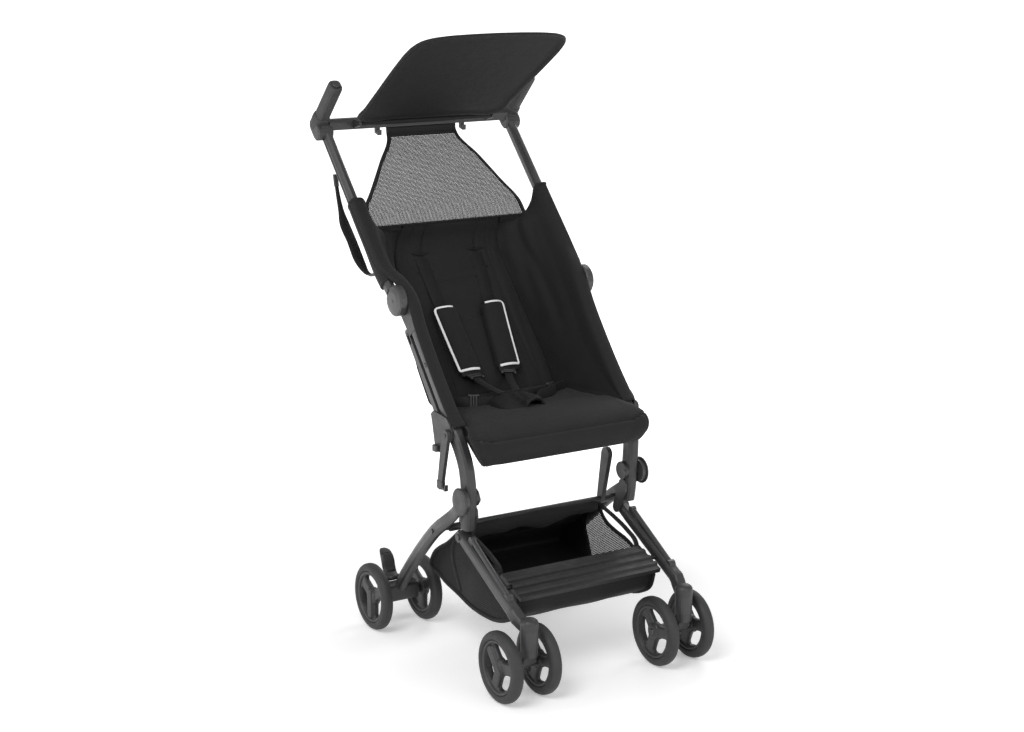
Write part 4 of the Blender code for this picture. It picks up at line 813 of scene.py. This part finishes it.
def make_lap_straps():
    waist = [(-0.13, -0.305), (-0.095, -0.329), (-0.055, -0.3366), (-0.02, -0.3376), (0.02, -0.3366), (0.07, -0.326),
             (0.128, -0.298)]
    path = smooth([(x, y, 0.4535 + 0.002 * math.sin(40 * x)) for x, y in waist], 70)
    strap = band("waist_webbing", path, 0.0225, 0.002, across=(0.0, 0.25, 1.0))
    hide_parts("waist_strap")
    for side, index in (("right", 12), ("left", 56)):
        middle = path[index]
        step = path[index + 2] - path[index - 2]
        ladder(f"waist_slider_{side}", middle, step / np.linalg.norm(step), 0.027, 0.02, across=(0.0, 0.25, 1.0))
    loose = smooth([(0.095, -0.319, 0.457), (0.07, -0.342, 0.459), (0.038, -0.356, 0.458), (0.025, -0.366, 0.456)], 26)
    band("waist_tail", loose, 0.021, 0.0018, across=(0.2, 0.5, 1.0))
    crotch = smooth([(BUCKLE_X, y, z) for y, z in (
        (-0.406, 0.456), (-0.395, 0.4545), (-0.385, 0.453), (-0.345, 0.45))], 20)
    strap = band("crotch_webbing", crotch, 0.025, 0.0018)
    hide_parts("crotch_strap")


def make_crotch_pad():
    """The soft hood over the buckle: low at its back and near side, with a hemmed half-moon mouth at the front."""
    n, m = 40, 71
    front, back = np.zeros((n, m, 3)), np.zeros((n, m, 3))
    for r, t in enumerate(np.linspace(0, 1, n)):
        blend = t * t * (3 - 2 * t)
        half = 0.044 * (1 - abs(2 * t - 1) ** 3.2 * 0.2)
        seat = 0.449 + 0.0018 * t
        for c, u in enumerate(np.linspace(-1, 1, m)):
            dome = max(0.0, 1 - abs(u) ** 2.4) ** 0.62 * (0.02 - 0.006 * (1 - t) ** 3)
            mouth = max(0.0, 1 - ((u - 0.4) / 0.55) ** 2) ** 0.5 * 0.018 + 0.0014 * (u < 0.0)
            rise = dome * (1 - blend) + mouth * blend
            ripple = (0.0007 * math.sin(15 * u + 7 * t) + 0.0005 * math.sin(31 * t + 5 * u)) * (1 - abs(u))
            x = BUCKLE_X + half * u
            y = -0.333 - 0.072 * t - 0.003 * math.sin(math.pi * (u + 1) / 2) * (t - 0.2)
            front[r, c] = (x, y, seat + rise + ripple + 0.0034)
            back[r, c] = (x * 0.99 + BUCKLE_X * 0.01, y, seat + max(rise - 0.004, 0.0004))
    pad = shell("crotch_cushion", front, back, LINING)
    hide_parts("crotch_pad")
    mouth = smooth(front[-1, 26:] * 0.6 + back[-1, 26:] * 0.4, 60)
    tube("crotch_mouth_hem", mouth, 0.0028, TRIM, sides=12)
    edge = np.concatenate([front[-1, :27][::-1], front[::-1, 0][1:], front[0, 1:], front[1:, -1]])
    tube("crotch_edge_hem", smooth(edge - np.array([0, 0, 0.002]), 160), 0.0018, TRIM, sides=8)


def make_carry_strap():
    """The carry strap behind the right tube: thin ends in clips and a wider woven middle that hangs in a bow."""
    rows = [(-0.02, 0.844, 0.0035), (-0.023, 0.829, 0.0035), (-0.03, 0.805, 0.004), (-0.042, 0.776, 0.006),
            (-0.052, 0.758, 0.0095), (-0.083, 0.726, 0.01), (-0.118, 0.689, 0.0095), (-0.14, 0.676, 0.0055),
            (-0.16, 0.6745, 0.004), (-0.179, 0.68, 0.004)]
    dense = smooth([(-0.204, y, z, half) for y, z, half in rows], 90)
    strap = band("carry_webbing", dense[:, :3], dense[:, 3] * 2, 0.003, body="handle_frame")
    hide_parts("carry_strap")
    for name, rows in (("upper", dense[:9]), ("lower", dense[-9:])):
        tube(f"carry_clip_{name}", smooth(rows[:, :3], 9), 0.0048, PLASTIC, "handle_frame",
             sides=12, flat=0.6, power=3.0)


# Basket

BASKET_HALF = 0.1465
BASKET_PITCH, BASKET_STRAND = 0.0034, 0.0021
STRUT_BAR = (-0.399, 0.244)
BASKET_FLOOR = [(-0.3879, 0.244), (-0.33, 0.199), (-0.27, 0.156), (-0.262, 0.14), (-0.3, 0.127), (-0.35, 0.114),
                (-0.4, 0.105), (-0.452, 0.0985), (-0.5, 0.103), (-0.535, 0.115), (-0.562, 0.132), (-0.5735, 0.164)]
BASKET_RIM = [(-0.3879, 0.244), (-0.415, 0.219), (-0.45, 0.205), (-0.49, 0.196), (-0.52, 0.186), (-0.5735, 0.164)]
# Where the cloth of a basket side ends and its net begins, from the rear wall down to the floor
NET_EDGE = [(-0.37, 0.227), (-0.348, 0.2), (-0.347, 0.18), (-0.356, 0.156), (-0.368, 0.13), (-0.376, 0.1095)]
# The net window in the rear wall, as (x, share down the basket's run)
WINDOW = [(0.048, 0.062), (0.118, 0.052), (0.098, 0.138), (0.08, 0.16)]
BASKET_STRAP = [(-0.393, 0.242), (-0.415, 0.237), (-0.45, 0.228), (-0.485, 0.216), (-0.512, 0.201),
                (-0.516, 0.193)]
# How far past its outline a side's net goes, to end under the bindings
NET_REACH = ((0, 0), (0.0036, 0), (-0.0036, 0), (0, 0.0036), (0, -0.0036))


def within(polygon, a, b):
    """Whether the point (a, b) lies inside a polygon of pairs."""
    inside = False
    for (a0, b0), (a1, b1) in zip(polygon, polygon[1:] + polygon[:1]):
        if (b0 > b) != (b1 > b) and a < (a1 - a0) * (b - b0) / (b1 - b0) + a0:
            inside = not inside
    return inside


def basket_x(sign, y, z):
    """How far out a basket side stands: it bulges in the middle and leans in a little at its rim."""
    bulge = 0.0045 * bell(y + 0.43, 0.09) * bell(z - 0.15, 0.05)
    return sign * (BASKET_HALF - 0.004 + bulge - 0.001 * math.sin(60 * y + 40 * z))


def basket_grid(base, width):
    """The basket's cloth as a grid: down from the bar, forward and up to the step, sagging between its sides."""
    grid = np.zeros((len(base), width, 3))
    for r, t in enumerate(np.linspace(0, 1, len(base))):
        inward = np.array([0.0, -0.42 - base[r, 0], 0.19 - base[r, 1]])
        inward /= np.linalg.norm(inward)
        for c, u in enumerate(np.linspace(-1, 1, width)):
            sag = 0.005 * math.sin(math.pi * t) * (1 - u * u)
            sag += 0.0014 * math.sin(21 * t + 6 * u) * (1 - abs(u)) + 0.0009 * math.sin(40 * t - 9 * u)
            sag += 0.002 * bell(t - 0.93, 0.05) * math.cos(5 * u)
            corner = 0.003 * abs(u) ** 12
            grid[r, c] = (u * (BASKET_HALF - 0.003 * bell(t - 0.5, 0.4)),
                          base[r, 0] - inward[1] * (sag * 0.7 - corner), base[r, 1] - inward[2] * (sag * 0.5 - corner))
    return grid


def make_basket_window(grid, long):
    """The net window in the rear wall, in the hole that the cloth leaves, with its hem."""
    last, width = len(grid) - 1, grid.shape[1]

    def wall(x, share):
        low = min(int(share * last), last - 1)
        part = share * last - int(share * last)
        k = int(round((x / BASKET_HALF + 1) / 2 * (width - 1)))
        return (x, *(grid[low, k] * (1 - part) + grid[low + 1, k] * part)[1:])

    net = hex_net("basket_window_net", lambda s: 0.13, lambda x, s: wall(x, s / long), 0.19 * long, BASKET_PITCH,
                  BASKET_STRAND, DARK_THREAD, "rear_frame", inside=lambda x, s: within(WINDOW, x, s / long))
    path = smooth([wall(x, share) for x, share in WINDOW + WINDOW[:1]], 60)
    return [net, tube("basket_window_hem", path, 0.003, TRIM, "rear_frame", sides=8)]


def make_basket_side(side, sign):
    """One side of the basket: cloth behind, net in front, bindings and a strap."""
    lower, upper, edge = curve(BASKET_FLOOR, 260), curve(BASKET_RIM, 120), curve(NET_EDGE, 40)
    first = int(np.argmin(np.linalg.norm(lower - edge[0], axis=1)))
    turn = int(np.argmin(np.linalg.norm(lower - edge[-1], axis=1)))
    behind = curve(lower[first:turn + 1], 40)
    region = [tuple(p) for p in (*lower[turn:], *upper[::-1], *lower[:first], *edge)]

    def place(y, z):
        return (basket_x(sign, y, z), y, z)

    def in_net(x, s):
        y, z = -0.33 - s, 0.165 + x
        return any(within(region, y + a, z + b) for a, b in NET_REACH)

    rows = [[place(*(edge[k] * (1 - v) + behind[k] * v)) for v in np.linspace(0, 1, 24)] for k in range(40)]
    pieces = [cloth(f"basket_side_{side}", np.array(rows), 0.0016, LINING, "rear_frame")]
    pieces.append(hex_net(f"basket_side_net_{side}", lambda s: 0.09, lambda x, s: place(-0.33 - s, 0.165 + x), 0.25,
                          BASKET_PITCH, BASKET_STRAND, DARK_THREAD, "rear_frame", inside=in_net))
    for name, line, radius, flat in (("net_hem", edge, 0.0052, 0.5), ("rim", upper, 0.004, 0.7),
                                     ("edge", lower[first:], 0.0046, 0.8)):
        path = smooth([place(*p) for p in line[::4]], 110)
        pieces.append(tube(f"basket_{name}_{side}", path, radius, TRIM, "rear_frame", flat=flat, up=(1, 0, 0)))
    strap = [(sign * 0.1455, *p) for p in curve(BASKET_STRAP, 40)]
    pieces.append(band(f"basket_strap_{side}", strap, 0.01, 0.0016, body="rear_frame"))
    return pieces


def make_basket():
    """The storage basket: a sagging floor from bar to step, cloth and net sides, a net window and bound rims."""
    base = curve(BASKET_FLOOR, 150)
    grid = basket_grid(base, 97)
    floor = cloth("basket_cloth", grid, 0.0018, LINING, "rear_frame")
    cut_out(floor, grid, lambda x, share: within(WINDOW, x, share))
    long = np.linalg.norm(np.diff(base, axis=0), axis=1).sum()
    pieces = [floor] + make_basket_window(grid, long)
    for side, sign in SIDES:
        pieces += make_basket_side(side, sign)
    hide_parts("basket")
    for piece in pieces:
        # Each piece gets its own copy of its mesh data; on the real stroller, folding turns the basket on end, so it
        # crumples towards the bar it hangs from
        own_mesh(piece)


def cut_out(piece, grid, hole):
    """Takes a window out of a sheet made by cloth(): hole(x, share) says which of its points go."""
    n, m = grid.shape[:2]
    gone = {r * m + c for r in range(n) for c in range(m) if hole(grid[r, c, 0], r / (n - 1))}
    points = in_world(np.array([grid[i // m, i % m] for i in sorted(gone)]))
    bm = bmesh.new()
    bm.from_mesh(piece.data)
    near = [v for v in bm.verts if np.linalg.norm(points - np.array(v.co), axis=1).min() < 0.0012]
    bmesh.ops.delete(bm, geom=near, context="VERTS")
    bmesh.ops.bridge_loops(bm, edges=[edge for edge in bm.edges if edge.is_boundary])
    bm.to_mesh(piece.data)
    bm.free()


def make_bar_sleeve():
    """The padded cloth sleeve round the strut's lower bar, which holds the basket's rear edge and sags below it."""
    y, z = STRUT_BAR
    half, rows, sides = 0.136, 90, 24
    points = []
    for x in np.linspace(-half, half, rows):
        ends = 1 - 0.35 * abs(x / half) ** 14
        thick = 0.0012 * math.sin(26 * x + 1) + 0.0008 * math.sin(61 * x)
        lifted = 1 - 0.85 * bell(x - 0.085, 0.04)
        hang = lifted * (0.01 + 0.003 * math.sin(33 * x) + 0.0016 * math.sin(88 * x + 1))
        for k in range(sides):
            angle = 2 * math.pi * k / sides
            fat = ends * (1 + 0.05 * math.sin(70 * x + 3 * k))
            drop = hang if math.sin(angle) < 0 else 0.0
            points.append((x, y + (0.0074 + thick) * fat * math.cos(angle),
                           z + (0.0096 + thick + drop) * fat * math.sin(angle)))
    mesh_object("bar_sleeve", points, capped(rows, sides), CLOTH, "strut_frame")


# Small hard parts

PEDAL_X = -0.169
PEDAL_PATH = ((-0.16, 0.0868), (-0.15, 0.0925), (-0.143, 0.102), (-0.14, 0.112), (-0.135, 0.1215),
              (-0.127, 0.1285), (-0.118, 0.131))


def revolved(profile, segments):
    """Points and faces of a closed (x, radius) profile turned about X."""
    angles = [2 * math.pi * k / segments for k in range(segments)]
    points = [(x, r * math.cos(angle), r * math.sin(angle)) for x, r in profile for angle in angles]
    last = (len(profile) - 1) * segments
    faces = quads(len(profile), segments, True)
    faces += [(last + k, last + (k + 1) % segments, (k + 1) % segments, k) for k in range(segments)]
    return points, faces


def spoke(middle, low, high, half_width, half_thick):
    """A web between the hub and the rim that flares into both, as the openings' rounded ends leave it."""
    rows, columns = 25, 11
    points = []
    for face in (1, -1):
        for share in np.linspace(0, 1, rows):
            radius = low + (high - low) * share
            straight = math.degrees(math.asin(min(0.99, half_width / radius)))
            reach = 60 - (60 - straight) * max(0.0, 1 - abs(2 * share - 1) ** 5) ** 0.4
            for u in np.linspace(-1, 1, columns):
                angle = math.radians(middle + reach * u)
                eased = half_thick * (1 - 0.25 * abs(u) ** 6)
                points.append((face * eased, radius * math.cos(angle), radius * math.sin(angle)))
    size = rows * columns
    faces = both_skins(quads(rows, columns), size)
    for r in range(rows - 1):
        for c in (0, columns - 1):
            a, b = r * columns + c, (r + 1) * columns + c
            faces.append((a, b, b + size, a + size) if c else (b, a, a + size, b + size))
    return points, faces


def wheel_piece(name, parts, sign, place, material, body):
    """One mesh from several, its X turned outwards, put at its axle."""
    points, faces = [], []
    for some, made in parts:
        start = len(points)
        points += [(place[0] + sign * x, place[1] + y, place[2] + z) for x, y, z in some]
        faces += [tuple(i + start for i in f) for f in made]
    return mesh_object(name, points, faces, material, body)


def two_sided(profile):
    """A profile of (x, radius) and its mirror image."""
    return profile + [(-x, r) for x, r in reversed(profile)]


def make_wheels():
    """The eight wheels: a foam tyre, a moulded rim of three spokes, and a raised bar on each outer one."""
    half = 0.011
    tyre = two_sided([(half * 0.55, 0.0478), (half * 0.92, 0.0496), (half, 0.0524), (half * 0.97, 0.056),
                      (half * 0.86, 0.0592), (half * 0.64, 0.0618), (half * 0.34, 0.0632), (0.0, WHEEL_RADIUS)])
    del tyre[8]
    ring = two_sided([(0.0066, 0.0428), (0.008, 0.0434), (0.0088, 0.045), (0.0092, 0.0468), (0.0084, 0.0482),
                      (0.0066, 0.0486)])
    hub = two_sided([(0.0062, 0.0046), (0.0086, 0.005), (0.009, 0.008), (0.0086, 0.0118), (0.0068, 0.014),
                     (0.005, 0.0168)])
    axle_end = [(0.0088, 0.006), (0.01, 0.0056), (0.0104, 0.004), (0.01, 0.0016), (0.0098, 0.0002),
                (0.004, 0.0002), (0.004, 0.006)]
    # Each end's axle (y), the places of its wheels (x), how far its spokes and its bar are turned
    for end, y, places, turn, bar_angle in (("rear", -0.18, (0.1155, 0.2214), 0.0, 270.0),
                                            ("front", -0.607, (0.1244, 0.2015), 20.0, 50.0)):
        web = [spoke(angle + turn, 0.015, 0.0432, 0.01, 0.0058) for angle in (30.0, 150.0, 270.0)]
        for side, sign in SIDES:
            for kind, x in zip(("inner", "outer"), places):
                face = sign if kind == "outer" else -sign
                at = (face, (sign * x, y, WHEEL_RADIUS))
                body = f"{end}_{kind}_wheel_{side}"
                made = wheel_piece(f"{end}_{kind}_tyre_{side}", [revolved(tyre, 96)], *at, TYRE, body)
                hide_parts(f"{end}_wheel_{side}_{kind}")
                wheel_piece(f"{end}_{kind}_rim_{side}", [revolved(ring, 96), revolved(hub, 48), *web], *at, RIM, body)
                if kind == "outer":
                    wheel_bar(f"{end}_bar_{side}", *at, math.radians(bar_angle), body)
                else:
                    wheel_piece(f"{end}_{kind}_axle_end_{side}", [revolved(axle_end, 24)], *at, STEEL, body)


def wheel_bar(name, face, place, angle, body):
    """The long raised bar on an outer wheel, bare, with a groove round it."""
    along = np.array([math.cos(angle), math.sin(angle)])
    aside = np.array([-along[1], along[0]])
    count = 48
    points = []
    # Each layer's height along the axle and its size
    layers = ((0.0052, 1.1), (0.006, 1.1), (0.006, 1.0), (0.0094, 0.985), (0.0102, 0.93), (0.0104, 0.8), (0.0104, 0.3))
    for x, scale in layers:
        for k in range(count):
            c, s = math.cos(2 * math.pi * k / count), math.sin(2 * math.pi * k / count)
            reach = math.copysign(abs(c) ** 0.3, c) * 0.0285 * (1 - (1 - scale) * 0.3)
            width = math.copysign(abs(s) ** 0.42, s) * 0.0082 * scale
            points.append((x, *(along * (0.012 + reach) + aside * width)))
    wheel_piece(name, [(points, capped(len(layers), count))], face, place, PLASTIC, body)


def rounded_box(name, low, high, ease, material, body, power=5.0):
    """A soft-cornered block between two corners; ease is how much its ends draw in."""
    low, high = np.array(low, float), np.array(high, float)
    middle, size = (low + high) / 2, (high - low) / 2
    rings, sides = 24, 40
    points = []
    for e in np.linspace(-1, 1, rings):
        shrink = 1 - ease * (1 - max(0.0, 1 - abs(e) ** (power * 2)) ** (1 / power))
        for k in range(sides):
            c, s = math.cos(2 * math.pi * k / sides), math.sin(2 * math.pi * k / sides)
            y, z = (math.copysign(abs(v) ** (2 / power), v) * shrink for v in (c, s))
            points.append(middle + size * np.array([e, y, z]))
    return mesh_object(name, points, capped(rings, sides), material, body)


def make_fittings():
    """Covers over the rear axles, domed caster tops, grip boots, rivets beside the seat and the foot pedal."""
    dome = [(-0.012, 0.0157), (-0.002, 0.0161), (0.002, 0.0156), (0.0052, 0.0138), (0.0078, 0.0105), (0.0092, 0.006),
            (0.0097, 0.0), (-0.012, 0.0)]
    head = [(-0.001, 0.004), (0.0, 0.004), (0.00096, 0.00368), (0.0016, 0.00248), (0.0016, 0.0012), (0.0008, 0.00096),
            (0.0008, 0.0)]
    share = np.linspace(0, 1, 26)
    for side, sign in SIDES:
        x0, x1 = sorted((sign * 0.129, sign * 0.208))
        rounded_box(f"rear_axle_cover_{side}", (x0, -0.196, WHEEL_RADIUS - 0.015), (x1, -0.162, WHEEL_RADIUS + 0.019),
                    0.35, PAINT, "rear_frame")
        turned(f"caster_dome_{side}", dome, (sign * 0.163, -0.637, 0.145), (0, 0, 1), PLASTIC, "front_frame",
               36)
        boot = smooth([(sign * x, y, z) for x, y, z in ((0.2045, 0.0205, 0.918), (0.206, 0.03, 0.927),
                       (0.208, 0.033, 0.9335), (0.2095, 0.028, 0.94), (0.21, 0.018, 0.95))], 26)
        tube(f"grip_boot_{side}", boot, 0.0148 + 0.0012 * np.sin(np.pi * share), FOAM, "handle_frame",
             sides=32, power=2.6)
        turned(f"rivet_seat_{side}", head, (sign * 0.1921, -0.335, 0.5383), (sign, 0, 0), STEEL, "chassis",
               20)
    path = [(PEDAL_X, *p) for p in curve(PEDAL_PATH, 40)]
    share = np.linspace(0, 1, 40)
    wide = 0.0115 + 0.002 * np.sin(np.pi * share) - 0.006 * share ** 8
    pedal = tube("foot_pedal", path, wide, PLASTIC, "pedal", sides=28, flat=0.34, up=(0.0, 0.7, 0.7),
                 power=3.2)
    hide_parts("brake_pedal")
    eye = [(-0.014, 0.0026), (-0.014, 0.0052), (0.014, 0.0052), (0.014, 0.0026)]
    turned("foot_pedal_eye", eye, (PEDAL_X, -0.162, 0.086), (1, 0, 0), PLASTIC, "pedal", 28)


def make_gussets():
    """The cloth that closes the corners between the cushion, the sides and the legs."""
    # Each column's upper end (y, z) and how far it hangs
    columns = ((-0.404, 0.453, 0.02), (-0.42, 0.449, 0.03), (-0.435, 0.444, 0.038), (-0.45, 0.439, 0.045),
               (-0.465, 0.433, 0.048), (-0.478, 0.426, 0.044), (-0.487, 0.418, 0.034))
    for side, sign in SIDES:
        rows = [[(sign * (0.1588 - 0.0014 * math.sin(k + 60 * y)), y, z - drop * k / 4) for k in range(5)]
                for y, z, drop in columns]
        cloth(f"corner_gusset_{side}", fine_grid(rows, 40, 16), 0.0026, LINING)


def assign_finishes():
    """Finishes for the frame's own pieces, by the record's slots."""
    finishes = {"frame": PAINT, "plastic": PLASTIC, "grip": FOAM, "tyre": TYRE, "fabric": CLOTH, "mesh": CLOTH,
                "webbing": WEBBING, "pad": CLOTH}
    slots = {row["node"]: row["material_slot"] for row in frame["record"]["subparts"]}
    for name, obj in frame["nodes"].items():
        obj.data.materials.clear()
        obj.data.materials.append(finishes[slots[name]])
        smooth_by_angle(obj, 35.0)
    frame["nodes"]["footrest"].data.materials[0] = STEP


def smooth_by_angle(obj, degrees):
    """Smooth shading with sharp edges where faces meet at more than an angle."""
    mesh = obj.data
    bm = bmesh.new()
    bm.from_mesh(mesh)
    for edge in bm.edges:
        edge.smooth = len(edge.link_faces) == 2 and edge.calc_face_angle(math.pi) < math.radians(degrees)
    for face in bm.faces:
        face.smooth = True
    bm.to_mesh(mesh)
    bm.free()


make_camera()
make_stage()
make_world()
make_light()
assign_finishes()
make_visor()
make_head_net()
make_wings(np.concatenate([make_seat_back(), make_seat_cushion()]))
make_tube_sleeves()
make_shoulder_straps()
make_shoulder_pads()
make_lap_straps()
make_crotch_pad()
make_carry_strap()
make_basket()
make_bar_sleeve()
make_wheels()
make_fittings()
make_gussets()

bpy.context.view_layer.update()
